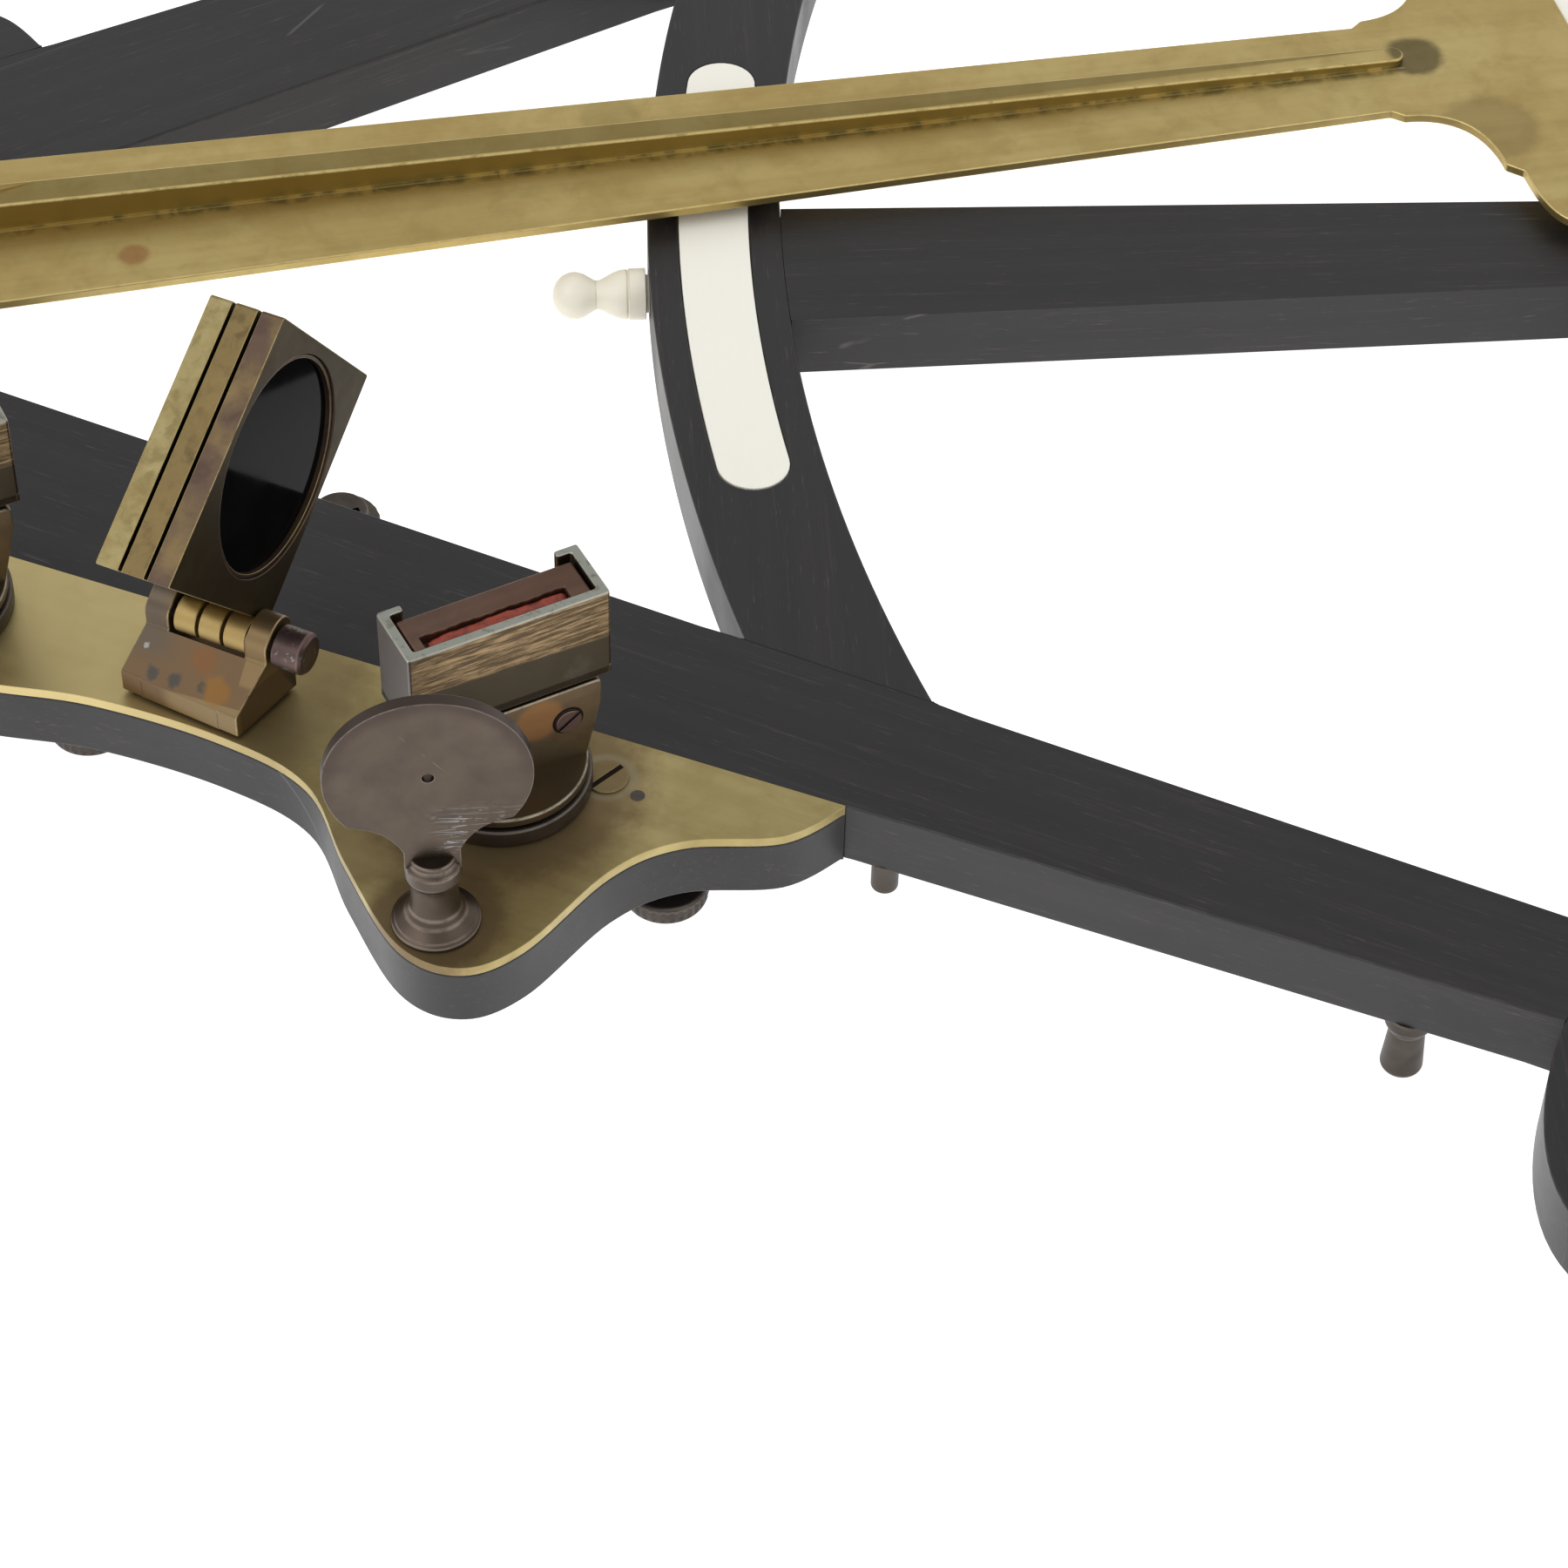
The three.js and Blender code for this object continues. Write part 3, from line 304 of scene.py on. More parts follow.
def turned_body(profile, soft=0.2, sides=48, flutes=None, sharp=22):
    """A profile of (radius, z) points carried round the z axis, from the axis back to the axis, low end
    first. flutes = (count, depth, low, high) cuts grooves: the radius loses depth * (1 + cos) / 2."""
    path, way, edge = soft_path(profile, soft, closed=False, sharp=sharp)
    angle = np.linspace(0, 2 * np.pi, sides, endpoint=False)
    radius = np.repeat(path[:, :1], sides, 1)
    if flutes:
        number, depth, low, high = flutes
        inside = np.clip(np.minimum(path[:, 1] - low, high - path[:, 1]) / 0.25, 0, 1)[:, None]
        radius = radius - inside * depth * (1 + np.cos(number * angle))[None] / 2
    c, s = np.cos(angle), np.sin(angle)
    points = np.stack([radius * c, radius * s, np.repeat(path[:, 1:], sides, 1)], -1)
    normals = np.stack([np.outer(way[:, 1], c), np.outer(way[:, 1], s), np.repeat(-way[:, :1], sides, 1)],
                       -1)
    index = 1 + np.arange((len(path) - 2) * sides).reshape(-1, sides)
    nxt = np.roll(index, -1, 1)
    faces = np.stack([index[:-1], nxt[:-1], nxt[1:], index[1:]], -1).reshape(-1, 4).tolist()
    last = 1 + (len(path) - 2) * sides
    faces += [[0, b, a] for a, b in zip(index[0], nxt[0])]
    faces += [[last, a, b] for a, b in zip(index[-1], nxt[-1])]
    all_points = np.concatenate([[[0, 0, path[0, 1]]], points[1:-1].reshape(-1, 3), [[0, 0, path[-1, 1]]]])
    all_normals = np.concatenate([[[0, 0, -1.0]], normals[1:-1].reshape(-1, 3), [[0, 0, 1.0]]])
    all_edge = np.concatenate([[0.0], np.repeat(edge[1:-1], sides), [0.0]])
    return Shell(all_points, faces, all_normals, all_edge)


def soft_block(low_x, high_x, low_y, high_y, low, high, soft=0.25, corner=None):
    return soft_prism(rectangle(low_x, high_x, low_y, high_y), low, high, soft, corner=corner)


def slotted_head(radius, low, high, slot=0.5, depth=0.5, turn=0, soft=0.12):
    """A screw head as a full disc under two half discs, with the slot between them."""
    reach = np.degrees(np.arcsin(slot / 2 / radius))
    half = circle_arc(0, 0, radius, reach, 180 - reach, 24)
    lower = soft_prism(disc(radius, 40), low, high - depth, 0.02)
    halves = [soft_prism(half, high - depth - 0.02, high, soft).turned(side) for side in (0, 180)]
    return [shell.turned(turn) for shell in [lower, *halves]]


# ---------------------------------------------------------------- finished pieces

materials = {}


def put(name, shells, material, body, replaces=()):
    """Makes one piece from its shells, in its place, riding on its body."""
    shells = shells if isinstance(shells, (list, tuple)) else [shells]
    starts = np.cumsum([0] + [len(shell.points) for shell in shells])
    faces = [[i + start for i in face] for shell, start in zip(shells, starts) for face in shell.faces]
    mesh = bpy.data.meshes.new(name)
    mesh.from_pydata(np.concatenate([shell.points for shell in shells]) * MM + pivot, [], faces)
    mesh.polygons.foreach_set("use_smooth", np.full(len(faces), True))
    edge = mesh.attributes.new("edge", "FLOAT", "POINT")
    edge.data.foreach_set("value", np.concatenate([shell.edge for shell in shells]).astype(np.float32))
    mesh.normals_split_custom_set_from_vertices(unit(np.concatenate([shell.normals for shell in shells])))
    mesh.materials.append(materials[material])
    piece = bpy.data.objects.new(name, mesh)
    bpy.context.scene.collection.objects.link(piece)
    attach(piece, body)
    if replaces:
        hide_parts(*replaces)


# ---------------------------------------------------------------- finishes

class Nodes:
    """Short words for a node tree. Values are given as sockets or as plain numbers and colours."""

    def __init__(self, tree):
        self.tree = tree

    def add(self, kind, values=None, **settings):
        made = self.tree.nodes.new(kind)
        for key, value in settings.items():
            setattr(made, key, value)
        for key, value in (values or {}).items():
            self.give(made.inputs[key], value)
        return made

    def give(self, socket, value):
        if isinstance(value, bpy.types.NodeSocket):
            self.tree.links.new(value, socket)
        elif isinstance(value, (tuple, list)) and len(value) == 3 and socket.type == "RGBA":
            socket.default_value = (*value, 1.0)
        else:
            socket.default_value = value

    def math(self, operation, *values):
        """The first two values under the operation, and its result with each further value."""
        whole = values[0]
        for value in values[1:]:
            whole = self.add("ShaderNodeMath", {0: whole, 1: value}, operation=operation).outputs[0]
        return whole

    def times(self, *values):
        return self.math("MULTIPLY", *values)

    def plus(self, *values):
        return self.math("ADD", *values)

    def less(self, a, b):
        return self.math("SUBTRACT", a, b)

    def most(self, *values):
        return self.math("MAXIMUM", *values)

    def tint(self, base, colour, *shares):
        """The base mixed towards a colour by the product of the shares."""
        return self.mix(self.times(*shares), base, colour)

    def vector(self, operation, a, b=(0, 0, 0)):
        made = self.add("ShaderNodeVectorMath", {0: a, 1: b}, operation=operation)
        return made.outputs["Value" if operation in ("LENGTH", "DISTANCE", "DOT_PRODUCT") else "Vector"]

    def step(self, value, low, high, to_low=0.0, to_high=1.0):
        """A smooth step from to_low at low to to_high at high."""
        made = self.add("ShaderNodeMapRange", {"Value": value, "From Min": low, "From Max": high,
                                               "To Min": to_low, "To Max": to_high},
                        interpolation_type="SMOOTHSTEP", clamp=True)
        return made.outputs["Result"]

    def drop(self, value, low, high):
        return self.step(value, low, high, 1.0, 0.0)

    def mix(self, share, a, b):
        made = self.add("ShaderNodeMix", data_type="RGBA")
        self.give(made.inputs["Factor"], share)
        self.give(made.inputs[6], a)
        self.give(made.inputs[7], b)
        return made.outputs[2]

    def noise(self, vector, scale, detail=3.0, rough=0.55, warp=0.0):
        return self.add("ShaderNodeTexNoise", {"Vector": vector, "Scale": scale, "Detail": detail,
                                               "Roughness": rough, "Distortion": warp}).outputs["Fac"]

    def mapped(self, vector, place=(0, 0, 0), turn=0.0, scale=(1, 1, 1)):
        spin = (0, 0, float(np.radians(turn)))
        return self.add("ShaderNodeMapping", {"Vector": vector, "Location": place, "Scale": scale,
                                              "Rotation": spin}).outputs["Vector"]


def group(name, numbers, outputs=("Mask",)):
    """A shared node group with a vector input, named number inputs, and float outputs."""
    tree = bpy.data.node_groups.new(name, "ShaderNodeTree")
    tree.interface.new_socket("Vector", in_out="INPUT", socket_type="NodeSocketVector")
    for label in numbers:
        tree.interface.new_socket(label, in_out="INPUT", socket_type="NodeSocketFloat")
    for label in outputs:
        tree.interface.new_socket(label, in_out="OUTPUT", socket_type="NodeSocketFloat")
    n = Nodes(tree)
    return tree, n, n.add("NodeGroupInput").outputs, n.add("NodeGroupOutput").inputs


def make_blotch_group():
    """Cloudy patches: noise of one scale warped by itself, cut between Low and High."""
    tree, n, take, give = group("cloudy_patches", ("Scale", "Low", "High"))
    cloud = n.noise(take["Vector"], take["Scale"], 5, 0.6, 0.4)
    n.give(give["Mask"], n.step(cloud, take["Low"], take["High"]))
    return tree


def make_line_group():
    """Brushed lines: noise drawn out along the vector's x, fine and coarse, from 0 to 1."""
    tree, n, take, give = group("brushed_lines", ("Fineness", "Stretch"), outputs=("Lines", "Bands"))
    share = n.math("DIVIDE", 1.0, take["Stretch"])
    thin = n.add("ShaderNodeCombineXYZ", {0: share, 1: 1.0, 2: 1.0}).outputs[0]
    drawn = n.vector("MULTIPLY", take["Vector"], thin)
    n.give(give["Lines"], n.noise(drawn, take["Fineness"], 6, 0.7))
    n.give(give["Bands"], n.noise(drawn, n.times(take["Fineness"], 0.17), 3, 0.5))
    return tree


def make_scratch_group():
    """Odd scratches: the thin walls between drawn-out cells, in three directions, broken up by noise."""
    tree, n, take, give = group("odd_scratches", ("Scale", "Width", "Amount"))
    masks = []
    for turn, stretch in ((12, 9.0), (-38, 14.0), (71, 11.0)):
        turned = n.mapped(take["Vector"], (turn * 0.31, 0.0, 0.0), turn, (1 / stretch, 1, 1))
        cells = n.add("ShaderNodeTexVoronoi", {"Vector": turned, "Scale": take["Scale"]},
                      feature="DISTANCE_TO_EDGE").outputs["Distance"]
        line = n.drop(cells, 0.0, take["Width"])
        moved = n.mapped(take["Vector"], (0.0, turn * 0.7, 0.0))
        there = n.noise(moved, n.times(take["Scale"], 0.35), 4, 0.6)
        gate = n.less(1.0, take["Amount"])
        masks.append(n.times(line, n.step(there, gate, n.plus(gate, 0.06))))
    n.give(give["Mask"], n.most(*masks))
    return tree


def make_wear_group():
    """Edge wear: the rounded edges, broken up by noise so that some stretches keep their finish."""
    tree, n, take, give = group("edge_wear", ("Scale", "Amount"))
    edge = n.add("ShaderNodeAttribute", attribute_name="edge").outputs["Fac"]
    breakup = n.noise(take["Vector"], take["Scale"], 4, 0.65)
    gate = n.less(1.0, take["Amount"])
    worn = n.step(breakup, n.less(gate, 0.15), n.plus(gate, 0.15))
    n.give(give["Mask"], n.times(edge, worn))
    return tree


def make_spot_group():
    """One stain: 1 inside Radius of the vector's origin, ragged by noise, fading over Blur."""
    tree, n, take, give = group("ragged_stain", ("Radius", "Blur", "Ragged", "Grain"))
    distance = n.vector("LENGTH", take["Vector"])
    rough = n.less(n.noise(take["Vector"], take["Grain"], 5, 0.65), 0.5)
    edge = n.plus(distance, n.times(rough, take["Ragged"]))
    n.give(give["Mask"], n.drop(edge, take["Radius"], n.plus(take["Radius"], take["Blur"])))
    return tree


shared = {
    "patches": make_blotch_group(), "lines": make_line_group(), "scratches": make_scratch_group(),
    "wear": make_wear_group(), "stain": make_spot_group(),
}


class Finish(Nodes):
    """A material on one Principled shader, with the bench's millimetres as its coordinates."""

    def __init__(self, name, roughness=0.5, metallic=0.0):
        material = bpy.data.materials.new(name)
        material.use_nodes = True
        super().__init__(material.node_tree)
        self.shader = self.tree.nodes["Principled BSDF"]
        self.shader.inputs["Roughness"].default_value = roughness
        self.shader.inputs["Metallic"].default_value = metallic
        space = self.add("ShaderNodeTexCoord").outputs["Object"]
        bench = self.vector("SUBTRACT", space, tuple(float(v) for v in pivot))
        self.bench = self.vector("MULTIPLY", bench, (1 / MM,) * 3)
        materials[name] = material

    def shared(self, kind, vector=None, output=None, **numbers):
        made = self.add("ShaderNodeGroup", node_tree=shared[kind])
        self.give(made.inputs["Vector"], self.bench if vector is None else vector)
        for key, value in numbers.items():
            self.give(made.inputs[key], value)
        return made.outputs[output] if output else made.outputs[0]

    def along(self, degrees, at=(0, 0, 0)):
        """The bench's coordinates measured from a point, with x along a direction."""
        moved = self.vector("SUBTRACT", self.bench, tuple(float(v) for v in at))
        return self.mapped(moved, turn=-degrees)

    def stain(self, at, radius, blur, ragged, grain):
        return self.shared("stain", self.along(0, at), Radius=radius, Blur=blur, Ragged=ragged, Grain=grain)

    def split(self, vector=None):
        return self.add("ShaderNodeSeparateXYZ", {0: self.bench if vector is None else vector}).outputs

    def axes(self, basis, origin):
        """The bench's coordinates measured from an origin along the three columns of a basis."""
        moved = self.vector("SUBTRACT", self.bench, tuple(float(v) for v in origin))
        ways = [tuple(float(v) for v in column) for column in basis.T]
        parts = {i: self.vector("DOT_PRODUCT", moved, way) for i, way in enumerate(ways)}
        return self.add("ShaderNodeCombineXYZ", parts).outputs[0]

    def within(self, value, low, high, blur=0.2):
        """1 where a coordinate lies between low and high, fading over blur."""
        half = blur / 2
        return self.times(self.step(value, low - half, low + half),
                          self.drop(value, high - half, high + half))

    def colour(self, socket):
        self.give(self.shader.inputs["Base Color"], socket)

    def rough(self, socket):
        self.give(self.shader.inputs["Roughness"], socket)

    def bump(self, height, distance=0.05, strength=0.5):
        made = self.add("ShaderNodeBump", {"Height": height, "Distance": distance * MM,
                                           "Strength": strength})
        self.give(self.shader.inputs["Normal"], made.outputs["Normal"])


def ebony(name, grain=0.0):
    """Black wood with fine straight streaks along the grain, dull handling marks and a few scratches."""
    f = Finish(name)
    way = f.along(grain)
    lines = f.shared("lines", way, Fineness=1.7, Stretch=60.0, output="Lines")
    bands = f.shared("lines", way, Fineness=1.7, Stretch=60.0, output="Bands")
    patches = f.shared("patches", Scale=0.03, Low=0.35, High=0.7)
    wood = f.mix(f.step(bands, 0.35, 0.7), (0.0070, 0.0064, 0.0070), (0.0120, 0.0100, 0.0105))
    wood = f.tint(wood, (0.040, 0.026, 0.023), f.step(lines, 0.54, 0.76), 0.85)
    wood = f.tint(wood, (0.016, 0.0145, 0.017), patches, 0.3)
    scratches = f.shared("scratches", way, Scale=0.07, Width=0.004, Amount=0.40)
    dashes = f.shared("lines", way, Fineness=4.5, Stretch=20.0, output="Lines")
    wood = f.tint(wood, (0.12, 0.080, 0.066), f.step(dashes, 0.57, 0.70), f.step(lines, 0.42, 0.62), 0.7)
    nicks = f.shared("scratches", f.vector("MULTIPLY", way, (1, 4, 1)), Scale=0.16, Width=0.02, Amount=0.35)
    wood = f.tint(wood, (0.14, 0.115, 0.10), nicks, 0.5)
    wood = f.tint(wood, (0.12, 0.11, 0.11), scratches, 0.5)
    wear = f.shared("wear", Scale=0.3, Amount=0.42)
    f.colour(f.tint(wood, (0.05, 0.045, 0.042), wear, 0.35))
    dull = f.plus(f.times(patches, 0.14), f.times(lines, 0.12))
    f.rough(f.plus(dull, 0.30))
    f.shader.inputs["Specular IOR Level"].default_value = 0.42
    f.bump(f.less(lines, f.times(scratches, 0.5)), 0.02, 0.25)
    return f


def brass(name, main, light, dark, grain=0.0, roughness=0.36, fineness=3.0, stains=(), cloudy=0.5,
          scratch=0.3, wear=0.6, wear_tint=None, late=None):
    """Brushed brass: soft lines along the grain, broad cloudy tarnish, paler worn edges, and stains round
    fittings. Each stain is (x, y, z, radius, share, colour). late(f, metal) may tint it further."""
    f = Finish(name, metallic=1.0)
    way = f.along(grain)
    lines = f.shared("lines", way, Fineness=fineness, Stretch=45.0, output="Lines")
    bands = f.shared("lines", way, Fineness=fineness, Stretch=45.0, output="Bands")
    cloud = f.shared("patches", Scale=0.05, Low=0.3, High=0.72)
    film = f.shared("patches", Scale=0.22, Low=0.38, High=0.78)
    metal = f.mix(cloud, main, light)
    metal = f.tint(metal, dark, f.step(bands, 0.35, 0.7), 0.3)
    metal = f.tint(metal, dark, film, cloudy)
    metal = f.tint(metal, light, f.step(lines, 0.4, 0.85), 0.22)
    dirty = 0.0
    for x, y, z, radius, share, tint in stains:
        blur, ragged = max(1.0, radius * 0.45), max(0.8, radius * 0.4)
        mark = f.times(f.stain((x, y, z), radius, blur, ragged, 0.45), share)
        metal = f.mix(mark, metal, tint)
        dirty = f.most(dirty, mark)
    if late:
        metal = late(f, metal)
    scratches = f.shared("scratches", way, Scale=0.16, Width=0.009, Amount=scratch)
    metal = f.tint(metal, light, scratches, 0.45)
    worn = f.shared("wear", Scale=0.6, Amount=wear)
    bright = wear_tint or tuple(min(1, c * 1.3) for c in light)
    f.colour(f.tint(metal, bright, worn, 0.7))
    tarnish = f.plus(f.times(film, 0.06), f.times(dirty, 0.12))
    f.rough(f.plus(tarnish, f.times(lines, 0.08), roughness - 0.04))
    f.bump(f.less(lines, f.times(scratches, 0.5)), 0.01, 0.22)
    return f


def ivory(name, main=(0.86, 0.84, 0.76), shade=(0.74, 0.70, 0.58), grain=90.0):
    """Ivory: creamy, very softly clouded, with a low polish and browned edges."""
    f = Finish(name, roughness=0.4)
    lines = f.shared("lines", f.along(grain), Fineness=0.9, Stretch=18.0, output="Lines")
    cloud = f.shared("patches", Scale=0.03, Low=0.3, High=0.8)
    body = f.tint(main, shade, cloud, 0.12)
    body = f.tint(body, shade, f.step(lines, 0.45, 0.85), 0.1)
    wear = f.shared("wear", Scale=0.5, Amount=0.6)
    f.colour(f.tint(body, (0.40, 0.32, 0.20), wear, 0.45))
    f.shader.inputs["Subsurface Weight"].default_value = 0.1
    f.shader.inputs["Subsurface Radius"].default_value = (0.0010, 0.0008, 0.0005)
    return f


EBONY_SLOPE = float(np.degrees(np.arctan(INNER_SLOPE)))
ebony("ebony_stem", 0.0)
ebony("ebony_left_limb", -EBONY_SLOPE)
ebony("ebony_right_limb", EBONY_SLOPE)
ebony("ebony_crossbar", 90.0)
ebony("ebony_apex", 0.0)
ebony("ebony_left_cheek", -EBONY_SLOPE)


def at_arm(reach, across, up=ARM_TOP):
    """A bench point at a reach along the arm and a distance across it."""
    return (*(about_z(ARM_ANGLE) @ [reach, across, 0])[:2], up)


def arm_marks(f, metal):
    """The rib's near side is painted darker, as painted shade; its foot holds a pale line and a green
    deposit.
    """
    x, y, z = f.split(f.along(ARM_ANGLE))
    # painted shade: the rib's near side face is darkened
    side = f.times(f.step(z, ARM_TOP + 0.15, ARM_TOP + 0.3), f.drop(y, -0.05, 0.1))
    metal = f.tint(metal, (0.25, 0.185, 0.06), side, 0.75)
    crust = f.shared("patches", Scale=0.35, Low=0.42, High=0.62)
    foot = f.times(f.within(y, -1.4, 0.1, 1.2), f.drop(z, ARM_TOP + 0.1, ARM_TOP + 0.4))
    reach = f.within(x, 30, 219, 1.0)
    foot = f.times(foot, reach)
    metal = f.tint(metal, (0.10, 0.105, 0.05), foot, crust, 0.7)
    line = f.times(f.within(y, -0.62, -0.34, 0.12), f.times(reach, f.drop(z, 3.2, 3.4)))
    return f.tint(metal, (0.70, 0.64, 0.44), line, 0.5)


def plate_marks(f, metal):
    """Brighter towards the apex, with a cleaned ring round the slotted screw."""
    ring = f.vector("LENGTH", f.vector("MULTIPLY", f.along(0, (*PLATE_SCREW, 0)), (1, 1, 0)))
    metal = f.mix(f.step(f.split()[0], 58, 92, 0.7, 0.0), metal, (0.60, 0.49, 0.235))
    return f.tint(metal, (0.36, 0.34, 0.24), f.within(ring, 2.4, 3.4, 0.9), 0.28)


GOLD = (0.47, 0.345, 0.128)
PALE_GOLD = (0.56, 0.445, 0.19)
OLIVE = (0.36, 0.26, 0.086)
BROWN = (0.14, 0.09, 0.05)
brass("arm_brass", GOLD, PALE_GOLD, OLIVE, ARM_ANGLE, roughness=0.42, late=arm_marks, stains=(
    (*at_arm(60, -7.5), 1.3, 0.5, (0.30, 0.10, 0.04)), (*at_arm(221, 1.5), 3.0, 0.7, (0.05, 0.04, 0.02)),
    (*at_arm(226, -14), 5.0, 0.3, (0.14, 0.10, 0.05)), (*at_arm(120, 8), 3.0, 0.2, (0.16, 0.12, 0.05))))
brass("plate_brass", (0.37, 0.295, 0.125), (0.47, 0.385, 0.185), (0.25, 0.19, 0.075), -EBONY_SLOPE,
      roughness=0.4, late=plate_marks, wear=0.35, wear_tint=(0.44, 0.38, 0.22), stains=(
          (*MIRRORS["back"][:2], 0, 12.5, 0.7, BROWN), (*BACK_VANE, 0, 6.0, 0.75, BROWN),
          (74, -68, 0, 11, 0.45, BROWN), (88, -92, 0, 4, 0.35, BROWN)))
brass("old_brass", (0.075, 0.064, 0.056), (0.11, 0.095, 0.082), (0.04, 0.033, 0.030), 0.0, roughness=0.45)
# A near-black finish: painted shade laid in the plate screw's slot and round the mirrors' set screws.
brass("painted_recess_shade", (0.02, 0.014, 0.01), (0.03, 0.022, 0.016), (0.012, 0.009, 0.007), roughness=0.7)


def screw_marks(f, metal):
    green = f.shared("patches", Scale=0.9, Low=0.60, High=0.68)
    return f.tint(metal, (0.30, 0.36, 0.28), green, 0.5)


brass("screw_brass", (0.07, 0.045, 0.045), (0.15, 0.10, 0.09), (0.035, 0.024, 0.026), 20.0,
      roughness=0.42, late=screw_marks)


def vane_marks(f, metal):
    """The disc darkens towards its rim at the top, with white-blue rubs low right and on the neck."""
    x, _, z = f.split(f.along(3, (*BACK_VANE, 0)))
    far = f.vector("LENGTH", f.add("ShaderNodeCombineXYZ", {0: x, 1: f.less(z, 22.0)}).outputs[0])
    rim = f.times(f.step(far, 8.6, 10.4), f.step(z, 16, 28))
    metal = f.tint(metal, (0.05, 0.036, 0.033), rim, 0.6)
    tall = f.vector("MULTIPLY", f.along(3, (*BACK_VANE, 0)), (1, 1, 1.6))
    rub = f.shared("scratches", tall, Scale=0.9, Width=0.035, Amount=0.5)
    low = f.times(f.within(z, 9, 17, 3.0), f.step(x, -1, 3))
    metal = f.tint(metal, (0.42, 0.45, 0.48), rub, low, 0.65)
    slant = f.plus(x, f.times(z, 0.8))
    broken = f.step(f.noise(f.bench, 0.9, 3, 0.6), 0.45, 0.6)
    line = f.times(f.within(slant, 20.0, 20.08, 0.1), broken, f.within(z, 22, 28, 2.0))
    return f.tint(metal, (0.34, 0.30, 0.28), line, 0.35)


brass("vane_brass", (0.080, 0.062, 0.048), (0.100, 0.078, 0.062), (0.056, 0.042, 0.034), 87.0,
      roughness=0.36, fineness=2.0, cloudy=0.35, late=vane_marks, wear_tint=(0.22, 0.18, 0.15),
      scratch=0.15)

RIM = (0.34, 0.355, 0.31)


def mirror_marks(x, y, turn):
    """Rough pale rims on top of the box; a scratched golden-brown front above a smooth olive-grey one."""
    def marks(f, metal):
        local = f.along(turn, (x, y, 0))
        u, v, w = f.split(local)
        front = f.drop(v, -3.7, -3.5)
        left = f.drop(u, -11.2, -11.0)
        upper = f.step(f.plus(w, f.times(u, 0.04)), 20.4, 20.9)
        tray = f.step(w, 14.5, 14.7)
        lines = f.shared("lines", f.mapped(local, scale=(1, 1, 1.5)), Fineness=2.4, Stretch=9.0,
                         output="Lines")
        gold = f.mix(f.step(lines, 0.42, 0.66), (0.09, 0.062, 0.036), (0.36, 0.25, 0.135))
        metal = f.tint(metal, (0.045, 0.037, 0.026), front, tray, 0.9)
        metal = f.tint(metal, gold, front, upper, 0.9)
        metal = f.tint(metal, (0.13, 0.122, 0.12), left, tray, 0.85)
        smear = f.stain((*(about_z(turn) @ [7.5, 0, 0])[:2] + np.array([x, y]), 17.0), 2.0, 2.5, 1.5, 0.7)
        metal = f.tint(metal, (0.42, 0.41, 0.40), smear, front, 0.4)
        body = f.times(f.within(w, 3.2, 14.2, 0.2), front)
        slant = f.drop(f.plus(w, f.times(u, 0.35)), 8.4, 8.8)
        metal = f.tint(metal, (0.13, 0.108, 0.066), body, slant, 0.6)
        rough_rim = f.shared("patches", Scale=0.9, Low=0.34, High=0.5)
        rim = f.times(f.step(w, 26.2, 26.35), f.plus(0.45, f.times(rough_rim, 0.5)))
        return f.mix(rim, metal, RIM)
    return marks


for prefix, (x, y, turn) in MIRRORS.items():
    spot = about_z(turn) @ [3.0, -3.7, 0] + [x, y, 11]
    brass(f"{prefix}_mirror_brass", (0.12, 0.082, 0.05), (0.17, 0.125, 0.08), (0.065, 0.046, 0.032), turn,
          roughness=0.4, late=mirror_marks(x, y, turn), wear_tint=(0.40, 0.37, 0.30),
          stains=((*spot, 2.2, 0.5, (0.36, 0.17, 0.06)),))
brass("packing_brass", (0.14, 0.078, 0.056), (0.18, 0.115, 0.085), (0.085, 0.052, 0.038),
      MIRRORS["back"][2], roughness=0.5)
brass("box_brass", (0.12, 0.09, 0.06), (0.20, 0.16, 0.11), (0.06, 0.045, 0.03), ARM_ANGLE, roughness=0.42,
      wear_tint=(0.40, 0.37, 0.30))

SIDE_TINTS = {      # each shade's filed side, and the tarnish in it
    1: ((0.32, 0.27, 0.13), (0.13, 0.10, 0.04)),
    2: ((0.19, 0.14, 0.063), (0.08, 0.053, 0.027)),
    3: ((0.11, 0.074, 0.056), (0.075, 0.049, 0.039)),
}
for number, (edge_tint, edge_dark) in SIDE_TINTS.items():
    def shade_marks(f, metal, number=number, edge_tint=edge_tint, edge_dark=edge_dark):
        """Filed gold sides between two browned faces, and a bright knuckle at the pin."""
        basis, origin = shade_axes(SHADE_LEAN)
        local = f.axes(basis, origin)
        _, v, w = f.split(local)
        low = SHADE_ALONG - (3 - number) * SHADE_PITCH
        side = f.within(w, low + 0.02, low + SHADE_THICK - 0.02, 0.05)
        drawn = f.vector("MULTIPLY", local, (1, 0.35, 1))
        pits = f.shared("patches", drawn, Scale=0.5, Low=0.46, High=0.66)
        broad = f.shared("patches", local, Scale=0.16, Low=0.38, High=0.7)
        tint = f.tint(f.tint(edge_tint, edge_dark, broad, 0.5), edge_dark, pits, 0.55)
        ends = f.most(f.step(v, 20.0, 24.0), f.drop(v, -2.6, 1.0))
        tint = f.tint(tint, (0.26, 0.19, 0.08), ends, broad, 0.6)
        metal = f.mix(side, metal, tint)
        pin = f.vector("LENGTH", f.vector("MULTIPLY", local, (1, 1, 0)))
        return f.mix(f.drop(pin, 2.15, 2.5), metal, (0.36, 0.26, 0.105))
    brass(f"shade_{number}_metal", (0.055, 0.040, 0.018), (0.08, 0.058, 0.028), (0.03, 0.022, 0.012),
          SHADE_LEAN, roughness=0.5, late=shade_marks, wear_tint=(0.48, 0.38, 0.17), cloudy=0.3)


